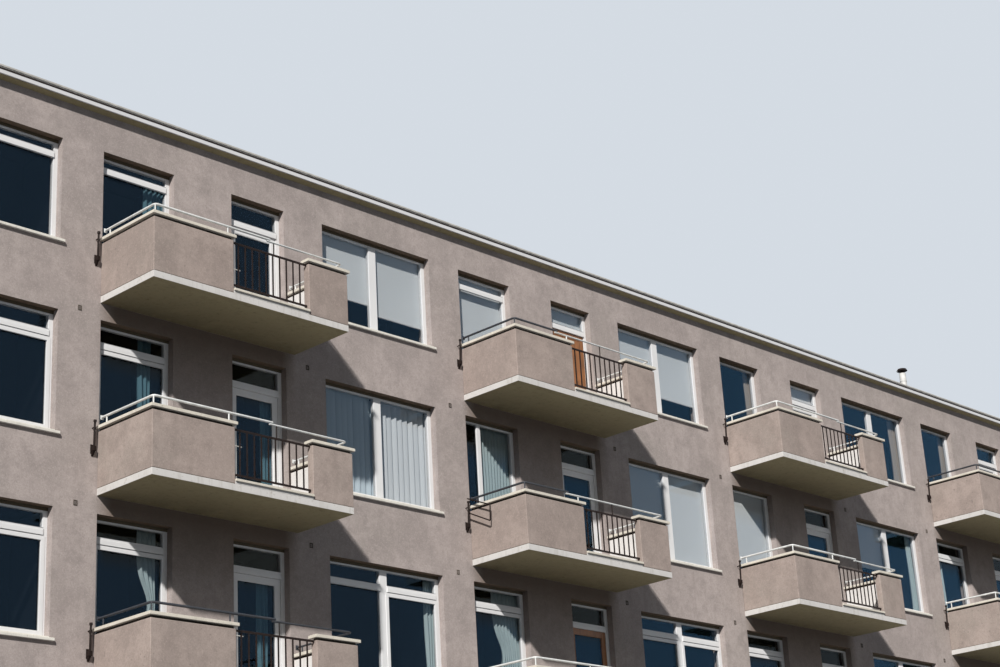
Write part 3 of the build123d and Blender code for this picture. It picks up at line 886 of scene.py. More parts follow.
class APARTMENT_OT_parapets(bpy.types.Operator):
    """Models a balcony's parapets, white inside, with recessed beds for their copings, and repeats them"""
    bl_idname = "apartment.parapets"
    bl_label = "Parapets"

    def execute(self, context):
        sizes = context.scene.block_sizes
        sides = by_place("parapet_sides")[(0, 0)]
        fronts = by_place("parapet_fronts")[(0, 0)]
        left, right = sides[0][0].x, sides[1][1].x
        outer = fronts[0][0].y
        drop = Vector((0, 0, sizes.coping_joint))
        set_back, play, wall_thickness = 0.024, 0.002, 0.125
        walls = []
        for index, (side, front) in enumerate(zip(sides, fronts)):
            wall = corner("parapet", (side[0], side[1] - drop), (front[0], front[1] - drop))
            soften(wall, 0.012, 3)
            wall.data.materials.append(finishes["parapet"])
            wall.data.materials.append(finishes["inside_paint"])
            for face in wall.data.polygons:
                inward = face.center.x > left + 0.1 if index == 0 else face.center.x < right - 0.1
                sideways = abs(face.normal.x) > 0.8 and inward and face.center.y > outer + wall_thickness
                face.material_index = 1 if sideways or face.normal.y > 0.8 else 0
            walls.append(wall)
            rise = side[1].z - side[0].z - sizes.coping_joint - 2 * play
            base, edge = Vector((set_back, set_back, rise)), Vector((-set_back, -set_back, play))
            # The bed is near-black, painted shade for the gap under the coping
            bed = corner("bed", (side[0] + base, side[1] + edge), (front[0] + base, front[1] + edge))
            bed.data.materials.append(finishes["joint"])
            walls.append(soften(bed, 0.003, 1))
        parapets = at_places(joined("parapet_walls", *walls), (0, 0), all_places)
        finish_piece(parapets, "render")
        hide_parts("parapet_sides", "parapet_fronts")
        return {"FINISHED"}


class APARTMENT_OT_copings(bpy.types.Operator):
    """Models the copings of a balcony with a weathered top and repeats them"""
    bl_idname = "apartment.copings"
    bl_label = "Copings"

    def execute(self, context):
        sides = by_place("coping_sides")[(0, 0)]
        fronts = by_place("coping_fronts")[(0, 0)]
        crown_inset, fall = 0.055, 0.007
        made = []
        for side, front in zip(sides, fronts):
            coping = corner("coping", side, front)
            edit(coping)
            pick(coping, "FACE", lambda part: part.normal.z > 0.9)
            bpy.ops.mesh.inset(thickness=crown_inset)
            pick(coping, "VERT", lambda part: part.co.z > side[1].z - 0.001 and any(
                abs(face.normal.z) < 0.1 for face in part.link_faces))
            bpy.ops.transform.translate(value=(0, 0, -fall))
            done()
            made.append(soften(coping))
        copings = at_places(joined("parapet_copings", *made), (0, 0), all_places)
        finish_piece(copings, "coping_stone", finishes["coping"])
        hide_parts("coping_sides", "coping_fronts")
        return {"FINISHED"}


class APARTMENT_OT_handrails(bpy.types.Operator):
    """Models a balcony's round handrail in two lengths, with posts, feet and wall plates, and repeats it"""
    bl_idname = "apartment.handrails"
    bl_label = "Handrails"

    def execute(self, context):
        sizes = context.scene.block_sizes
        arms = by_place("handrail_sides")[(0, 0)]
        front = by_place("handrail_fronts")[(0, 0)][0]
        posts = by_place("handrail_posts")[(0, 0)]
        radius = (front[1].z - front[0].z) / 2
        level = (front[0].z + front[1].z) / 2
        left = (arms[0][0].x + arms[0][1].x) / 2
        right = (arms[1][0].x + arms[1][1].x) / 2
        outer = (front[0].y + front[1].y) / 2
        end = front_face - 0.004
        base = posts[0][0].z
        corner_set_back, from_wall, near = 0.45, 0.12, 0.1
        spots = [((low.x + high.x) / 2, (low.y + high.y) / 2) for low, high in posts]
        spots = [
            (x, outer + corner_set_back if x > right - near and y < outer + near else y) for x, y in spots]
        spots += [(left, front_face - from_wall), (right, front_face - from_wall)]
        half_width, half_height, plate_thickness = 0.026, 0.032, 0.008
        post_radius, half_foot, foot_thickness, half_lap = 0.011, 0.03, 0.008, 0.03

        def length(x, meet, z, thickness):
            """One length, from the wall round a corner to the other one, with its plate, posts and feet."""
            line = [(x, end, z), (x, outer, z), (meet, outer, z)]
            parts = [tube("handrail", line, thickness, sizes.bend_radius)]
            plate = block(
                "plate", (x - half_width, front_face - plate_thickness, z - half_height),
                (x + half_width, front_face, z + half_height))
            parts.append(soften(plate))
            for spot, y in spots:
                if (spot < meet) == (x < meet):
                    parts.append(rod("post", (spot, y, base), (spot, y, z), post_radius, 10))
                    foot = block(
                        "foot", (spot - half_foot, y - half_foot, base),
                        (spot + half_foot, y + half_foot, base + foot_thickness))
                    parts.append(soften(foot))
            return joined("handrail", *parts)

        def pair(meet):
            """The two lengths of a handrail, lapped at a point and held by a pin."""
            lower, pin_radius = level - sizes.handrail_step, 0.008
            first = length(left, meet + half_lap, level, radius)
            second = length(right, meet - half_lap, lower, radius * 0.8)
            pin = rod("pin", (meet, outer, lower), (meet, outer, level), pin_radius, 10)
            return first, joined("handrail", second, pin)

        whole, halves = sorted(dark_handrails), sorted(half_dark_handrails)
        meeting, short_meeting = left + 2.0, left + 1.0
        first, second = pair(meeting)
        both = joined("dark_handrails", twin(first, "first"), twin(second, "second"))
        alike = [place for place in all_places if place not in dark_handrails | half_dark_handrails]
        light = [at_places(first, (0, 0), alike), at_places(second, (0, 0), alike)]
        dark = [at_places(both, (0, 0), whole)]
        first, second = pair(short_meeting)
        dark.append(at_places(first, (0, 0), halves))
        light.append(at_places(second, (0, 0), halves))
        light, dark = joined("light_handrails", *light), joined("dark_handrails", *dark)
        finish_piece(light, "handrail_steel", finishes["handrail"])
        finish_piece(dark, "handrail_steel", finishes["dark_handrail"])
        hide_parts("handrail_sides", "handrail_fronts", "handrail_posts")
        return {"FINISHED"}


class APARTMENT_OT_railing_feet(bpy.types.Operator):
    """Models the feet and the upright stay of a railing panel and repeats them"""
    bl_idname = "apartment.railing_feet"
    bl_label = "Railing feet"

    def execute(self, context):
        rails = sorted(by_place("railing_rails")[(0, 0)], key=lambda box: box[0].z)
        cap = by_place("kerb_caps")[(0, 0)][0]
        bottom, upper = rails[0], rails[-1]
        handrail = by_place("handrail_fronts")[(0, 0)][0]
        y = (bottom[0].y + bottom[1].y) / 2
        from_end, half_leg, half_shoe, shoe_thickness = 0.03, 0.008, 0.025, 0.006
        stay_share, stay_radius, under_handrail = 0.56, 0.009, 0.014
        parts = []
        for x in (bottom[0].x + from_end, bottom[1].x - from_end):
            leg = block(
                "leg", (x - half_leg, y - half_leg, cap[1].z),
                (x + half_leg, y + half_leg, bottom[0].z + 0.004))
            shoe = block(
                "shoe", (x - half_shoe, y - half_shoe, cap[1].z - 0.001),
                (x + half_shoe, y + half_shoe, cap[1].z + shoe_thickness))
            parts += [soften(leg, 0.002), soften(shoe, 0.002)]
        feet = at_places(joined("railing_feet", *parts), (0, 0), all_places)
        finish_piece(feet, "rail_steel", finishes["steel"])
        x = bottom[0].x + (bottom[1].x - bottom[0].x) * stay_share
        foot, head = (x, y, upper[1].z - 0.002), (x, y, handrail[0].z - under_handrail)
        stay = rod("railing_stays", foot, head, stay_radius, 10)
        stays = at_places(stay, (0, 0), all_places)
        finish_piece(stays, "rail_steel", finishes["steel"])
        return {"FINISHED"}


class APARTMENT_OT_line_brackets(bpy.types.Operator):
    """Models the folding line brackets on the wall and repeats them, one of them folded out"""
    bl_idname = "apartment.line_brackets"
    bl_label = "Line brackets"

    def execute(self, context):
        low, high = by_place("wall_brackets")[(0, 0)][0]
        x = (low.x + high.x) / 2
        wall = front_face
        z, stub_level = low.z + 0.05, high.z - 0.07
        half_plate, half_plate_height, plate_thickness = 0.03, 0.065, 0.008
        half_lug, half_lug_height, lug_reach = 0.026, 0.036, 0.072
        half_wedge, wedge_reach, wedge_taper = 0.018, 0.066, 0.056
        stub_radius, stub_reach, pin_radius, knob_radius, lean = 0.009, 0.07, 0.015, 0.023, 0.012
        parts = []
        plate = block(
            "plate", (x - half_plate, wall - plate_thickness, z - half_plate_height),
            (x + half_plate, wall, z + half_plate_height))
        lug = block(
            "lug", (x - half_lug, wall - lug_reach, z - half_lug_height),
            (x + half_lug, wall - 0.004, z + half_lug_height))
        parts += [soften(plate), soften(lug, 0.008)]
        back, end = (x, wall + 0.002, stub_level), (x - 0.008, wall - stub_reach, stub_level)
        parts.append(rod("stub", back, end, stub_radius, 10))
        wedge = block(
            "wedge", (x - half_wedge, wall - wedge_reach, low.z - 0.05),
            (x + half_wedge, wall - 0.002, low.z + 0.03))
        edit(wedge)
        pick(wedge, "VERT", lambda part: part.co.z < low.z and part.co.y < wall - 0.03)
        bpy.ops.transform.translate(value=(0, wedge_taper, 0))
        done()
        parts.append(soften(wedge, 0.004))
        foot, tip = (x, wall - 0.045, low.z + 0.02), (x - lean, wall - 0.078, high.z + 0.01)
        parts.append(rod("pin", foot, tip, pin_radius, 12))
        under, over = (x - lean, wall - 0.078, high.z - 0.004), (x - lean, wall - 0.08, high.z + 0.03)
        parts.append(rod("knob", under, over, knob_radius, 12))
        brackets = at_places(joined("line_brackets", *parts), (0, 0), all_places)
        finish_piece(brackets, "rail_steel", finishes["iron"])
        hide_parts("wall_brackets")

        x += 2 * bay_width
        z = by_place("coping_sides")[(3, 2)][0][1].z
        line = [
            (x, wall - 0.05, z + 0.10), (x, wall - 0.55, z - 0.115), (x, wall - 0.535, z - 0.375),
            (x, wall - 0.06, z - 0.14)]
        arm_radius, arm_bend = 0.011, 0.02
        arm = tube("folded_arm", line, arm_radius, arm_bend)
        finish_piece(arm, "rail_steel", finishes["iron"])
        return {"FINISHED"}


# Windows and doors

def light_box(glass, door_glass, place, light):
    """The pane of a light: 0 bedroom, 1 and 2 living room, 3 door leaf, 4 over the door."""
    if light < 3:
        return glass[place][light]
    panes = sorted(door_glass[place], key=lambda box: box[0].z)
    return panes[light - 3]


def stepped_bar(name, low, high, level):
    """A transom bar whose part above a level stands back a little."""
    step = 0.008
    bar = block(name, low, high)
    edit(bar)
    cut(bar, (0, 0, level), (0, 0, 1))
    pick(bar, "FACE", lambda part: part.normal.y < -0.9 and part.calc_center_median().z > level)
    draw_out((0, step, 0))
    done()
    return soften(bar)


class APARTMENT_OT_window_joinery(bpy.types.Operator):
    """Models transoms, opening sashes and head boards of the front windows and repeats them; the near-black
    head boards are painted shade under the lintels
    """
    bl_idname = "apartment.window_joinery"
    bl_label = "Window joinery"

    def execute(self, context):
        sizes = context.scene.block_sizes
        frames = by_place("window_frames")
        doors = by_place("balcony_door_frames")
        glass = by_place("window_glass")
        play, transom_proud, step_drop = 0.002, 0.018, 0.03
        sash_depth, sash_gap = 0.02, 0.01
        board_height, board_proud = 0.046, 0.012
        pieces, boards = [], []
        for start, places, drop in (
                ((0, 0), lower_places, sizes.transom_drop), ((top, 0), top_places, sizes.top_transom_drop)):
            for light in range(3):
                outer = frames[start][0 if light == 0 else 1]
                pane = glass[start][light]
                plain = plain_bedrooms if light == 0 else plain_livings
                head = outer[1].z
                foot = head - drop - sizes.transom_height
                transom = stepped_bar(
                    "transoms", (pane[0].x - play, outer[0].y - transom_proud, foot),
                    (pane[1].x + play, pane[0].y - 0.001, head - drop), head - drop - step_drop)
                wanted = [place for place in places if place not in plain]
                pieces.append(at_places(transom, start, wanted))
                if start[0] == top:
                    continue
                lap = sizes.sash_margin
                sash = ring(
                    "sashes", (pane[0].x - lap, outer[0].y - sizes.sash_proud, pane[0].z - lap),
                    (pane[1].x + lap, outer[0].y + sash_depth, foot - sash_gap), sizes.sash_face)
                wanted = [place for place in wanted if (*place, light) not in unsashed]
                pieces.append(at_places(soften(sash), start, wanted))
            for outer in (*frames[start], doors[start][0]):
                board = block(
                    "head_boards", (outer[0].x + play, outer[0].y - board_proud, outer[1].z - board_height),
                    (outer[1].x - play, outer[0].y + 0.004, outer[1].z - 0.001))
                boards.append(at_places(soften(board), start, places))
        finish_piece(joined("head_boards", *boards), "plinth_render", finishes["head"])
        finish_piece(joined("transoms_and_sashes", *pieces), "white_joinery", finishes["joinery"])

        pane = glass[(3, 2)][0]
        outer = frames[(3, 2)][0]
        mullion_share, half_mullion, mullion_proud = 0.30, 0.045, 0.01
        x = pane[0].x + (pane[1].x - pane[0].x) * mullion_share
        post = block(
            "narrow_mullion", (x - half_mullion, outer[0].y - mullion_proud, pane[0].z - play),
            (x + half_mullion, pane[0].y - 0.001, pane[1].z + play))
        finish_piece(soften(post, 0.005, 3), "white_joinery", finishes["joinery"])
        return {"FINISHED"}


class APARTMENT_OT_balcony_doors(bpy.types.Operator):
    """Models the balcony door leaves, their transoms and handles and repeats them, some in wood"""
    bl_idname = "apartment.balcony_doors"
    bl_label = "Balcony doors"

    def execute(self, context):
        leaves = by_place("balcony_doors")
        outers = by_place("balcony_door_frames")
        glass = by_place("door_glass")
        frame_face, transom_proud, transom_gap, transom_height, transom_step = 0.069, 0.018, 0.003, 0.103, 0.07
        bead_lap, bead_face = 0.012, 0.022
        handle_height, half_rose = 1.0, 0.015
        lever_reach, lever_length, lever_radius, lever_bend = 0.045, 0.11, 0.008, 0.012
        white, wooden, transoms, handles = [], [], [], []
        for start, places in (((0, 0), lower_places), ((top, 0), top_places)):
            leaf = leaves[start][0]
            outer = outers[start][0]
            pane = light_box(None, glass, start, 3)
            face = pane[0].x - leaf[0].x
            transom = stepped_bar(
                "door_transoms",
                (outer[0].x + frame_face, outer[0].y - transom_proud, leaf[1].z + transom_gap),
                (outer[1].x - frame_face, pane[0].y - 0.001, leaf[1].z + transom_height),
                leaf[1].z + transom_step)
            transoms.append(at_places(transom, start, places))
            body = soften(ring("leaf", leaf[0], leaf[1], face), 0.004)
            bead = ring(
                "bead", (pane[0].x - bead_lap, leaf[0].y + 0.004, pane[0].z - bead_lap),
                (pane[1].x + bead_lap, leaf[0].y + 0.012, pane[1].z + bead_lap), bead_face)
            body = joined("balcony_door_leaves", body, soften(bead))
            timber = twin(body, "wooden_door_leaves")
            white.append(at_places(body, start, [place for place in places if place not in wooden_doors]))
            wooden.append(at_places(timber, start, [place for place in places if place in wooden_doors]))
            x, y, z = leaf[0].x + face * 0.5, leaf[0].y, leaf[0].z + handle_height
            rose = block(
                "rose", (x - half_rose, y - 0.005, z - 0.09), (x + half_rose, y + 0.001, z + 0.06))
            line = [(x, y, z), (x, y - lever_reach, z), (x + lever_length, y - lever_reach, z)]
            lever = tube("lever", line, lever_radius, lever_bend)
            handles.append(at_places(joined("door_handles", soften(rose), lever), start, places))
        leaves = finish_piece(joined("balcony_door_leaves", *white), "white_joinery", finishes["joinery"])
        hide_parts("balcony_doors")
        finish_piece(joined("wooden_door_leaves", *wooden), "entrance_wood", finishes["wood"])
        finish_piece(joined("door_transoms", *transoms), "white_joinery", finishes["joinery"])
        finish_piece(joined("door_handles", *handles), "rail_steel", finishes["trim"])

        pane = light_box(None, glass, (4, 2), 3)
        board_count, half_gap, board_proud = 6, 0.002, 0.009
        width = (pane[1].x - pane[0].x) / board_count
        boards = []
        for index in range(board_count):
            x = pane[0].x + index * width
            board = block(
                "board", (x + half_gap, pane[0].y - board_proud, pane[0].z),
                (x + width - half_gap, pane[0].y - 0.001, pane[1].z))
            boards.append(soften(board))
        finish_piece(joined("door_boards", *boards), "entrance_wood", finishes["wood"])
        return {"FINISHED"}


def sloping_sill(name, low, high, outer):
    """A sill whose top falls towards its outer edge."""
    fall = 0.012
    sill = block(name, low, high)
    edit(sill)
    pick(sill, "VERT", lambda part: part.co.z > high[2] - 0.001 and abs(part.co.y - outer) < 0.001)
    bpy.ops.transform.translate(value=(0, 0, -fall))
    done()
    return soften(sill, 0.005)


class APARTMENT_OT_sills(bpy.types.Operator):
    """Models the sloping sills under the front and back windows and repeats them"""
    bl_idname = "apartment.sills"
    bl_label = "Sills"

    def execute(self, context):
        set_back, play, board_rise = 0.014, 0.002, 0.012
        low, high = by_place("window_sills")[(0, 0)][0]
        outer = by_place("window_frames")[(0, 0)][1]
        low.y += set_back
        sill = sloping_sill("sill", low, high, low.y)
        board = block(
            "board", (outer[0].x + play, high.y - 0.001, high.z - 2 * play),
            (outer[1].x - play, outer[0].y, high.z + board_rise))
        sills = at_places(joined("front_sills", sill, soften(board)), (0, 0), all_places)
        finish_piece(sills, "coping_stone", finishes["sill"])
        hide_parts("window_sills")

        ear, thickness, depth = 0.055, 0.05, 0.06
        edge = back_face + depth
        outer = by_place("back_window_frames")[(0, 0)][0]
        sill = sloping_sill(
            "back_sills", (outer[0].x - ear, back_face, outer[0].z - thickness),
            (outer[1].x + ear, edge, outer[0].z), edge)
        sills = at_places(sill, (0, 0), sorted(by_place("back_window_frames")))
        finish_piece(sills, "coping_stone", finishes["sill"])
        return {"FINISHED"}


class APARTMENT_OT_back_joinery(bpy.types.Operator):
    """Models mullions and sashes of the back windows and the panels of the entrance doors"""
    bl_idname = "apartment.back_joinery"
    bl_label = "Back joinery"

    def execute(self, context):
        frames = by_place("back_window_frames")
        glass = by_place("back_window_glass")
        half_mullion, sash_lap, sash_face, sash_proud = 0.06, 0.02, 0.06, 0.012
        made = []
        for start in ((0, 0), (top, 0)):
            outer, pane = frames[start][0], glass[start][0]
            middle = (outer[0].x + outer[1].x) / 2
            face = outer[1].y
            mullion = block(
                "mullion", (middle - half_mullion, pane[1].y + 0.001, pane[0].z - 0.002),
                (middle + half_mullion, face + 0.01, pane[1].z + 0.002))
            parts = [soften(mullion, 0.004)]
            for left, right in ((pane[0].x, middle - half_mullion), (middle + half_mullion, pane[1].x)):
                sash = ring(
                    "sash", (left - sash_lap, face - sash_lap, pane[0].z - sash_lap),
                    (right + sash_lap, face + sash_proud, pane[1].z + sash_lap), sash_face)
                parts.append(soften(sash, 0.004))
            cells = sorted(place for place in frames if (place[0] == top) == (start[0] == top))
            made.append(at_places(joined("back_sashes", *parts), start, cells))
        finish_piece(joined("back_sashes", *made), "white_joinery", finishes["joinery"])

        casing_face, moulding_face, lock_rail = 0.06, 0.035, (0.85, 0.97)
        stile, half_stile, rail = 0.1, 0.03, 0.12
        pull_side, pull_reach, pull_radius, stub_radius = 0.07, 0.05, 0.012, 0.008
        pull_levels, stub_levels = (0.9, 1.25), (0.93, 1.22)
        panels, pulls = [], []
        for low, high in solids_of("entrance_doors"):
            face = high.y
            casing = ring("casing", (low.x, face - 0.01, low.z), (high.x, face + 0.02, high.z), casing_face)
            panels.append(soften(casing, 0.004))
            middle = (low.x + high.x) / 2
            for left, right in ((low.x + stile, middle - half_stile), (middle + half_stile, high.x - stile)):
                for bottom, upper in (
                        (low.z + rail, low.z + lock_rail[0]), (low.z + lock_rail[1], high.z - rail)):
                    panel = ring(
                        "panel", (left, face - 0.006, bottom), (right, face + 0.012, upper), moulding_face)
                    panels.append(soften(panel, 0.005))
            x, y = middle + pull_side, face + pull_reach
            foot, head = [(x, y, low.z + level) for level in pull_levels]
            pulls.append(rod("pull", foot, head, pull_radius))
            for level in stub_levels:
                z = low.z + level
                pulls.append(rod("stub", (x, face - 0.002, z), (x, y, z), stub_radius))
        finish_piece(joined("entrance_door_panels", *panels), "entrance_wood", finishes["wood"])
        finish_piece(joined("entrance_door_pulls", *pulls), "rail_steel", finishes["trim"])
        return {"FINISHED"}


class APARTMENT_OT_room_linings(bpy.types.Operator):
    """Models the dim box behind every opening, which stands for an unlit room"""
    bl_idname = "apartment.room_linings"
    bl_label = "Room linings"

    def execute(self, context):
        sizes = context.scene.block_sizes
        gap, beside, above, thickness = 0.012, 0.12, 0.05, 0.008

        def lining(opening, start, places, inside, outwards):
            """A box open to the window, behind the inner face of a wall that faces outwards along y."""
            near, far = inside - outwards * gap, inside - outwards * sizes.room_depth
            bottom = max(opening[0].z - beside, floor_levels[start[0]] + gap)
            low = (opening[0].x - beside, min(near, far), bottom)
            high = (opening[1].x + beside, max(near, far), opening[1].z + above)
            piece = block("room_linings", low, high)
            edit(piece)
            pick(piece, "FACE", lambda part: part.normal.y * outwards > 0.9)
            bpy.ops.mesh.delete(type="FACE")
            done()
            apply(piece, "SOLIDIFY", thickness=thickness, offset=1.0)
            return at_places(piece, start, places)

        frames = by_place("window_frames")
        doors = by_place("balcony_door_frames")
        back = by_place("back_window_frames")
        made = []
        for start in ((0, 0), (top, 0)):
            places = top_places if start[0] == top else lower_places
            for opening in (*frames[start], doors[start][0]):
                made.append(lining(opening, start, places, front_inside, -1))
            cells = sorted(place for place in back if place in places)
            made.append(lining(back[start][0], start, cells, back_inside, 1))
        finish_piece(joined("room_linings", *made), "plinth_render", finishes["room"])
        return {"FINISHED"}


# Blinds and curtains

class APARTMENT_OT_blinds(bpy.types.Operator):
    """Hangs the roller blinds and the upright slats behind the panes"""
    bl_idname = "apartment.blinds"
    bl_label = "Blinds"

    def execute(self, context):
        sizes = context.scene.block_sizes
        glass, door_glass = by_place("window_glass"), by_place("door_glass")
        blind_depth, slat_depth = 0.042, 0.09
        side_lap, head_lap, bow, thickness = 0.05, 0.02, 0.006, 0.001
        bar_radius, barrel_radius = 0.011, 0.02

        def roller(place, light, share, material):
            """A roller blind drawn down over a share of a light, with its bottom bar and its barrel."""
            low, high = light_box(glass, door_glass, place, light)
            depth = high.y + blind_depth
            bottom = high.z - (high.z - low.z) * share
            name = f"roller_blind_{place[0] + 1}{place[1] + 1}{light}"
            width, drop = high.x - low.x + side_lap, high.z + head_lap - bottom
            bpy.ops.object.select_all(action="DESELECT")
            bpy.ops.mesh.primitive_grid_add(
                x_subdivisions=6, y_subdivisions=12, size=1, rotation=(math.pi / 2, 0, 0),
                location=((low.x + high.x) / 2, depth, high.z + head_lap - drop / 2))
            sheet = added(name, (width, drop, 1))
            for vert in sheet.data.vertices:
                along = (high.z - vert.co.z) / drop
                across = (vert.co.x - low.x) / width
                vert.co.y += bow * math.sin(math.pi * across) * math.sin(math.pi * along)
            apply(sheet, "SOLIDIFY", thickness=thickness, offset=0.0)
            bpy.ops.object.shade_smooth_by_angle(angle=round_angle)
            finish_piece(sheet, None, material)
            bar = rod("bar", (low.x - 0.015, depth, bottom), (high.x + 0.015, depth, bottom), bar_radius, 10)
            y, z = depth + barrel_radius, high.z + 0.025
            barrel = rod("barrel", (low.x - 0.02, y, z), (high.x + 0.02, y, z), barrel_radius, 12)
            hardware = finish_piece(joined(name + "_rods", bar, barrel), None, finishes["joinery"])

        grey, pale = finishes["blind"], finishes["white_blind"]
        # Storey and bay, light, share of the light that the blind covers, and its cloth
        for place, light, share, material in (
                ((4, 1), 1, 0.70, grey), ((4, 1), 2, 0.80, grey), ((4, 2), 0, 1.0, grey),
                ((4, 2), 4, 1.0, grey), ((4, 2), 1, 1.0, grey), ((4, 2), 2, 0.76, grey),
                ((4, 3), 4, 1.0, pale), ((3, 2), 1, 1.0, grey), ((3, 2), 2, 1.0, grey),
                ((3, 3), 0, 0.9, grey), ((3, 3), 1, 0.55, pale), ((1, 1), 1, 0.6, grey),
                ((1, 1), 2, 0.6, grey), ((0, 2), 0, 1.0, pale), ((0, 3), 1, 1.0, grey),
                ((0, 3), 2, 0.8, grey), ((1, 4), 0, 0.7, grey), ((2, 4), 1, 0.5, pale),
                ((2, 0), 1, 0.35, grey)):
            roller(place, light, share, material)

        pitch, half = sizes.slat_width * 0.92, sizes.slat_width / 2
        dish, mean_turn, stray = 0.008, 0.42, 0.12

        def slats(place, light):
            """Upright dished slats, each turned a little, under a head rail."""
            low, high = light_box(glass, door_glass, place, light)
            depth = high.y + slat_depth
            parts = []
            for index in range(math.ceil((high.x - low.x + 0.1) / pitch)):
                x = low.x - 0.03 + (index + 0.5) * pitch
                slat = block(
                    "slat", (x - half, depth - 0.001, low.z + 0.01), (x + half, depth + 0.001, high.z))
                edit(slat)
                pick(slat, "EDGE", lambda part: abs(part.verts[0].co.x - part.verts[1].co.x) > 0.05)
                bpy.ops.mesh.subdivide(number_cuts=3)
                pick(slat, "VERT", lambda part: abs(part.co.x - x) < half * 0.8)
                bpy.ops.transform.translate(value=(0, -dish, 0))
                bpy.ops.mesh.select_all(action="SELECT")
                turn = mean_turn + stray * math.sin(index * 2.4)
                bpy.ops.transform.rotate(value=turn, orient_axis="Z", center_override=(x, depth, 0))
                done()
                bpy.ops.object.shade_smooth_by_angle(angle=bent_angle)
                parts.append(slat)
            rail = block(
                "rail", (low.x - 0.02, depth - 0.02, high.z - 0.005),
                (high.x + 0.02, depth + 0.02, high.z + 0.025))
            parts.append(soften(rail))
            return joined(f"slat_blind_{place[0] + 1}{place[1] + 1}{light}", *parts)

        # The left light's slats take the bluer cloth: painted shade and sky reflection
        for light, kind in ((1, "shaded_slats"), (2, "slats")):
            finish_piece(slats((3, 1), light), None, finishes[kind])
        return {"FINISHED"}


class APARTMENT_OT_curtains(bpy.types.Operator):
    """Hangs the curtains behind the panes, some of them tied back"""
    bl_idname = "apartment.curtains"
    bl_label = "Curtains"

    def execute(self, context):
        glass, door_glass = by_place("window_glass"), by_place("door_glass")
        cloth_depth, side_lap, extra_drop, pleat_width = 0.072, 0.055, 0.05, 0.075
        tie_level, tie_spread, rail_radius, thickness = 0.62, 0.2, 0.009, 0.0012
        fold_depth, fold_growth, sway = 0.014, 0.012, 0.25

        def curtain(place, light, start, end, material, tied):
            """A curtain on a rail over a part of a light, drawn in by a share where it is tied back."""
            low, high = light_box(glass, door_glass, place, light)
            width = high.x - low.x
            left, right = low.x + width * start, low.x + width * end + (side_lap if end == 1 else 0)
            span, drop = right - left, high.z - low.z + extra_drop
            pleats = max(2, round(span / pleat_width))
            depth = high.y + cloth_depth
            name = f"curtain_{place[0] + 1}{place[1] + 1}{light}{round(start * 10)}"
            bpy.ops.object.select_all(action="DESELECT")
            bpy.ops.mesh.primitive_grid_add(
                x_subdivisions=pleats * 8, y_subdivisions=22, size=1, location=(0, 0, 0),
                rotation=(math.pi / 2, 0, 0))
            sheet = added(name)
            for vert in sheet.data.vertices:
                across, down = vert.co.x + 0.5, 0.5 - vert.co.z
                pinch = 1 - tied * math.exp(-((down - tie_level) / tie_spread) ** 2)
                wander = sway * math.sin(3.1 * down + 5.0 * across + place[1])
                fold = math.sin(2 * math.pi * (pleats * across + wander * (0.3 + down)))
                vert.co.x = right - span * (1 - across) * pinch
                vert.co.y = depth + fold * (fold_depth + fold_growth * down)
                vert.co.z = high.z + 0.03 - drop * down
            apply(sheet, "SOLIDIFY", thickness=thickness, offset=0.0)
            bpy.ops.object.shade_smooth()
            finish_piece(sheet, None, material)
            z = high.z + 0.035
            rail = rod(name + "_rail", (left - 0.02, depth, z), (right + 0.004, depth, z), rail_radius, 10)
            finish_piece(rail, None, finishes["joinery"])

        net, blue, beige = finishes["net"], finishes["blue"], finishes["beige"]
        # Storey and bay, light, where the curtain starts and ends across it, its cloth,
        # and the share by which it is drawn in
        for place, light, start, end, material, tied in (
                ((4, 1), 0, 0.72, 1.0, blue, 0.0), ((3, 1), 0, 0.66, 0.86, blue, 0.0),
                ((3, 1), 3, 0.78, 1.0, blue, 0.0), ((2, 1), 0, 0.68, 0.96, net, 0.6),
                ((2, 1), 3, 0.62, 0.92, blue, 0.0), ((2, 1), 2, 0.86, 1.0, net, 0.0),
                ((3, 2), 0, 0.38, 1.0, net, 0.0), ((2, 2), 0, 0.5, 1.0, net, 0.3),
                ((4, 3), 0, 0.87, 1.0, beige, 0.0), ((4, 4), 0, 0.87, 1.0, beige, 0.0),
                ((4, 3), 2, 0.78, 1.0, beige, 0.0), ((3, 3), 2, 0.86, 1.0, net, 0.0),
                ((3, 4), 0, 0.0, 0.35, net, 0.0), ((1, 0), 0, 0.6, 1.0, net, 0.5),
                ((0, 1), 0, 0.5, 1.0, net, 0.4), ((1, 3), 1, 0.0, 0.3, beige, 0.0),
                ((1, 3), 2, 0.7, 1.0, beige, 0.0), ((0, 4), 1, 0.0, 0.25, net, 0.0),
                ((0, 4), 2, 0.75, 1.0, net, 0.0), ((0, 0), 3, 0.6, 1.0, blue, 0.0),
                ((2, 3), 1, 0.0, 0.3, net, 0.0), ((2, 3), 2, 0.7, 1.0, net, 0.0)):
            curtain(place, light, start, end, material, tied)
        return {"FINISHED"}


# Wall and roof details

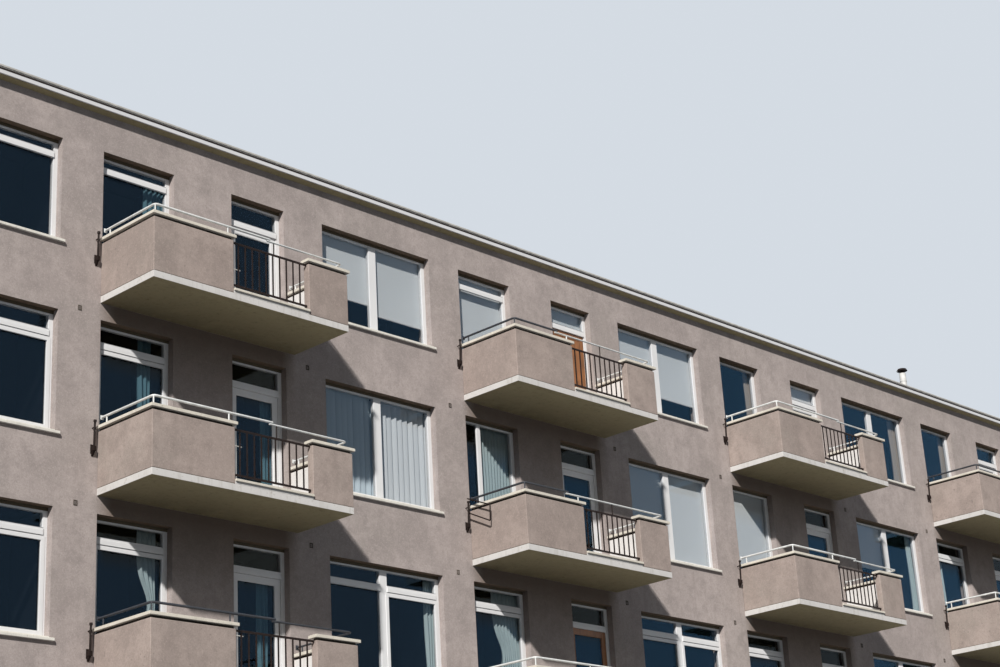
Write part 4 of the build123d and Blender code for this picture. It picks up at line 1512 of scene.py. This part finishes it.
class APARTMENT_OT_vents(bpy.types.Operator):
    """Models the small vent grilles in the front wall, dark as painted shade for their holes, and repeats them
    """
    bl_idname = "apartment.vents"
    bl_label = "Vents"

    def execute(self, context):
        sizes = context.scene.block_sizes
        half, rise = sizes.vent_width / 2, sizes.vent_height / 2
        proud, rim, recess = 0.006, 0.01, 0.007
        louvres, louvre_margin, half_louvre = 4, 0.008, 0.003
        below_ceiling, beside_window = 0.25, 0.36

        def vent(x, z):
            """A recessed grille about a point of the front wall."""
            plate = block(
                "vent", (x - half, front_face - proud, z - rise), (x + half, front_face + 0.004, z + rise))
            edit(plate)
            pick(plate, "FACE", lambda part: part.normal.y < -0.9)
            bpy.ops.mesh.inset(thickness=rim)
            draw_out((0, recess, 0))
            done()
            parts = [soften(plate, 0.0015, 1)]
            for index in range(louvres):
                level = z - rise + (index + 1) * rise * 0.4
                louvre = block(
                    "louvre", (x - half + louvre_margin, front_face - 0.004, level - half_louvre),
                    (x + half - louvre_margin, front_face + 0.002, level + half_louvre))
                parts.append(soften(louvre, 0.001, 1))
            return joined("vent_grilles", *parts)

        living = by_place("window_frames")[(0, 0)][1]
        level = floor_levels[0] + storey_height - below_ceiling
        between = [(storey, bay) for storey, bay in lower_places if bay < bays - 1]
        made = [
            at_places(vent(left_end + bay_width, level), (0, 0), between),
            at_places(vent(living[0].x - beside_window, level), (0, 0), lower_places)]
        finish_piece(joined("vent_grilles", *made), "plinth_render", finishes["vent"])
        return {"FINISHED"}


class APARTMENT_OT_roof(bpy.types.Operator):
    """Models the laps of the roofing felt, the splays of the eaves, dark strips on top of the fascias as
    painted shade under the edge trim, and the flue and cowl
    """
    bl_idname = "apartment.roof"
    bl_label = "Roof"

    def execute(self, context):
        sizes = context.scene.block_sizes
        trim_inset, first_lap, lap_width, last_lap = 0.09, 0.4, 0.1, 0.6
        low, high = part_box("roof_deck")
        left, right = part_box("gable_trim")[0].x + trim_inset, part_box("gable_trim")[1].x - trim_inset
        edges = solids_of("roof_edge_trim")
        front = min(box[1].y for box in edges)
        back = max(box[0].y for box in edges)
        lap = block(
            "felt_laps", (left + first_lap, front + 0.01, high.z - 0.001),
            (left + first_lap + lap_width, back - 0.01, high.z + 0.006))
        soften(lap, 0.003, 1)
        count = int((right - left - last_lap) // sizes.felt_width) + 1
        apply(lap, "ARRAY", count=count, use_relative_offset=False, use_constant_offset=True,
              constant_offset_displace=(sizes.felt_width, 0, 0))
        finish_piece(lap, "roof_felt", finishes["felt"])

        splay_depth, splay_rise, shade_strip_height = 0.03, 0.027, 0.026
        splays, shade_strips = [], []
        for low, high in solids_of("eave_soffits"):
            wall, away = (front_face, -1) if low.y < front_face else (back_face, 1)
            rim = low.y if away < 0 else high.y
            near, far = sorted((wall - away * 0.002, rim))
            splay = block("eave_splays", (low.x, near, low.z - splay_depth), (high.x, far, low.z + 0.002))
            edit(splay)
            pick(splay, "VERT", lambda part: part.co.z < low.z - 0.02 and abs(part.co.y - rim) < 0.001)
            bpy.ops.transform.translate(value=(0, 0, splay_rise))
            done()
            splays.append(even(splay))
        finish_piece(joined("eave_splays", *splays), "painted_concrete", finishes["eave_soffit"])
        # Dark strips on the fascias' tops: painted shade of the gap under the edge trim
        for low, high in solids_of("fascia_boards"):
            face, away = (low.y, -1) if low.y < front_face else (high.y, 1)
            near, far = sorted((face - away * 0.004, face + away * 0.003))
            shade_strip = block(
                "fascia_shade_strips", (low.x, near, high.z - shade_strip_height), (high.x, far, high.z - 0.001))
            shade_strips.append(soften(shade_strip, 0.001, 1))
        finish_piece(joined("fascia_shade_strips", *shade_strips), "flue_cap_metal", finishes["iron"])

        low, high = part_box("flue_pipe")
        x, y = (low.x + high.x) / 2, (low.y + high.y) / 2
        radius = (high.x - low.x) / 2
        collar_flare, collar_height, half_band = 0.09, 0.12, 0.015
        pipe = [rod("pipe", (x, y, low.z), (x, y, high.z), radius, 40)]
        collar = cone(
            "collar", (x, y, low.z + collar_height / 2), radius + collar_flare, radius + 0.012, collar_height)
        pipe.append(soften(collar, 0.004))
        for share in (0.45, 0.8):
            z = low.z + (high.z - low.z) * share
            pipe.append(rod("band", (x, y, z - half_band), (x, y, z + half_band), radius + 0.006, 40))
        pipe = finish_piece(joined("flue", *pipe), "flue_metal", finishes["flue"])
        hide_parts("flue_pipe")

        low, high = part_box("flue_cap")
        hood_height, stem_radius, stay_radius = 0.045, 0.036, 0.005
        reach, brim = (high.x - low.x) / 2, high.z - hood_height
        cowl = [rod("stem", (x, y, low.z - 0.002), (x, y, brim + 0.004), stem_radius, 20)]
        out = radius * 0.92
        for turn in (0.3, 0.3 + math.tau / 3, 0.3 + 2 * math.tau / 3):
            foot = Vector((x + math.cos(turn) * out, y + math.sin(turn) * out, low.z - 0.06))
            cowl.append(rod("stay", foot, foot + Vector((0, 0, brim - foot.z + 0.006)), stay_radius, 8))
        hood = cone("hood", (x, y, (brim + high.z) / 2), reach, reach * 0.82, high.z - brim)
        edit(hood)
        pick(hood, "FACE", lambda part: part.normal.z < -0.9)
        bpy.ops.mesh.inset(thickness=0.006)
        draw_out((0, 0, 0.012))
        done()
        cowl.append(soften(hood))
        cowl = finish_piece(joined("flue_cowl", *cowl), "flue_cap_metal", finishes["iron"])
        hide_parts("flue_cap")
        return {"FINISHED"}


# Stage

class APARTMENT_OT_stage(bpy.types.Operator):
    """Sets up the camera, the sun, the light all round and the plain floor"""
    bl_idname = "apartment.stage"
    bl_label = "Stage"

    def execute(self, context):
        stage = context.scene.block_stage
        sensor_width, sight, lamp_distance = 36, 1000, 60
        warm, cool, sky = (1.0, 0.97, 0.92), (0.92, 0.96, 1.0), (0.86, 0.93, 1.0)
        level_share = math.cos(stage.pitch)
        ahead = Vector((
            math.sin(stage.yaw) * level_share, math.cos(stage.yaw) * level_share, math.sin(stage.pitch)))
        level = Vector((math.cos(stage.yaw), -math.sin(stage.yaw), 0))
        upright = level.cross(ahead)
        right = math.cos(stage.roll) * level + math.sin(stage.roll) * upright
        up = -math.sin(stage.roll) * level + math.cos(stage.roll) * upright
        turn = Matrix((right, up, -ahead)).transposed().to_euler()
        bpy.ops.object.select_all(action="DESELECT")
        spot = (left_end + stage.from_left, front_face - stage.from_front, stage.eye_height)
        bpy.ops.object.camera_add(location=spot, rotation=turn)
        camera = context.active_object
        camera.name = "block_camera"
        camera.data.lens = stage.lens
        camera.data.sensor_width = sensor_width
        camera.data.clip_end = sight
        context.scene.camera = camera

        def lamp(name, towards, strength, size, colour):
            """A sun lamp that shines from a direction."""
            aim = towards.to_track_quat("Z", "Y").to_euler()
            bpy.ops.object.light_add(type="SUN", location=towards * lamp_distance, rotation=aim)
            light = context.active_object
            light.name = name
            light.data.energy = strength
            light.data.angle = size
            light.data.color = colour

        level_share = math.cos(stage.sun_height)
        towards = Vector((
            -math.sin(stage.sun_side) * level_share, -math.cos(stage.sun_side) * level_share,
            math.sin(stage.sun_height)))
        lamp("block_sun", towards, stage.sun_strength, stage.sun_size, warm)
        behind, back_size = Vector((0.64, 0.62, 0.45)), 0.35
        lamp("block_back_light", behind, stage.back_light, back_size, cool)

        world = bpy.data.worlds.new("soft_light")
        context.scene.world = world
        world.use_nodes = True
        tree = world.node_tree
        light = tree.nodes["Background"]
        light.inputs["Color"].default_value = (*sky, 1)
        light.inputs["Strength"].default_value = stage.fill
        backdrop = tree.nodes.new("ShaderNodeBackground")
        backdrop.inputs["Color"].default_value = (*stage.backdrop, 1)
        rays = tree.nodes.new("ShaderNodeLightPath")
        seen = rays.outputs["Is Camera Ray"]
        for ray in ("Is Glossy Ray", "Is Transmission Ray"):
            either = tree.nodes.new("ShaderNodeMath")
            either.operation = "MAXIMUM"
            tree.links.new(seen, either.inputs[0])
            tree.links.new(rays.outputs[ray], either.inputs[1])
            seen = either.outputs[0]
        mix = tree.nodes.new("ShaderNodeMixShader")
        tree.links.new(seen, mix.inputs[0])
        tree.links.new(light.outputs[0], mix.inputs[1])
        tree.links.new(backdrop.outputs[0], mix.inputs[2])
        tree.links.new(mix.outputs[0], tree.nodes["World Output"].inputs["Surface"])

        bpy.ops.object.select_all(action="DESELECT")
        bpy.ops.mesh.primitive_plane_add(size=stage.floor_size, location=(0, 0, cad_box[0].z))
        floor = added("studio_floor")
        surface = Finish("studio_floor", stage.floor, 0.9, specular=0.1)
        surface.stain(surface.noise(0.15, 2.0), 0.4, 0.7, 0.2, scaled(stage.floor, 0.97))
        floor.data.materials.append(surface.material)
        floor.visible_diffuse = False

        context.scene.view_settings.view_transform = "Standard"
        return {"FINISHED"}


class APARTMENT_PT_panel(bpy.types.Panel):
    """Lists the steps that dress the block"""
    bl_idname = "APARTMENT_PT_panel"
    bl_label = "Apartment Block"
    bl_space_type = "VIEW_3D"
    bl_region_type = "UI"
    bl_category = "Apartment Block"

    def draw(self, context):
        for step in steps:
            self.layout.operator(step.bl_idname)
        for settings in (context.scene.block_sizes, context.scene.block_colours, context.scene.block_stage):
            box = self.layout.box()
            for name in settings.__annotations__:
                box.prop(settings, name)


steps = (
    APARTMENT_OT_finishes, APARTMENT_OT_stage, APARTMENT_OT_balcony_slabs, APARTMENT_OT_parapets,
    APARTMENT_OT_copings, APARTMENT_OT_handrails, APARTMENT_OT_railing_feet, APARTMENT_OT_line_brackets,
    APARTMENT_OT_window_joinery, APARTMENT_OT_balcony_doors, APARTMENT_OT_sills, APARTMENT_OT_back_joinery,
    APARTMENT_OT_room_linings, APARTMENT_OT_blinds, APARTMENT_OT_curtains, APARTMENT_OT_vents,
    APARTMENT_OT_roof)
groups = (BlockSizes, BlockColours, StageSettings)


def register():
    for item in (*groups, *steps, APARTMENT_PT_panel):
        bpy.utils.register_class(item)
    bpy.types.Scene.block_sizes = PointerProperty(type=BlockSizes)
    bpy.types.Scene.block_colours = PointerProperty(type=BlockColours)
    bpy.types.Scene.block_stage = PointerProperty(type=StageSettings)


def unregister():
    del bpy.types.Scene.block_sizes
    del bpy.types.Scene.block_colours
    del bpy.types.Scene.block_stage
    for item in reversed((*groups, *steps, APARTMENT_PT_panel)):
        bpy.utils.unregister_class(item)


def main():
    register()
    for step in steps:
        group, name = step.bl_idname.split(".")
        getattr(getattr(bpy.ops, group), name)()


if __name__ == "__main__":
    main()
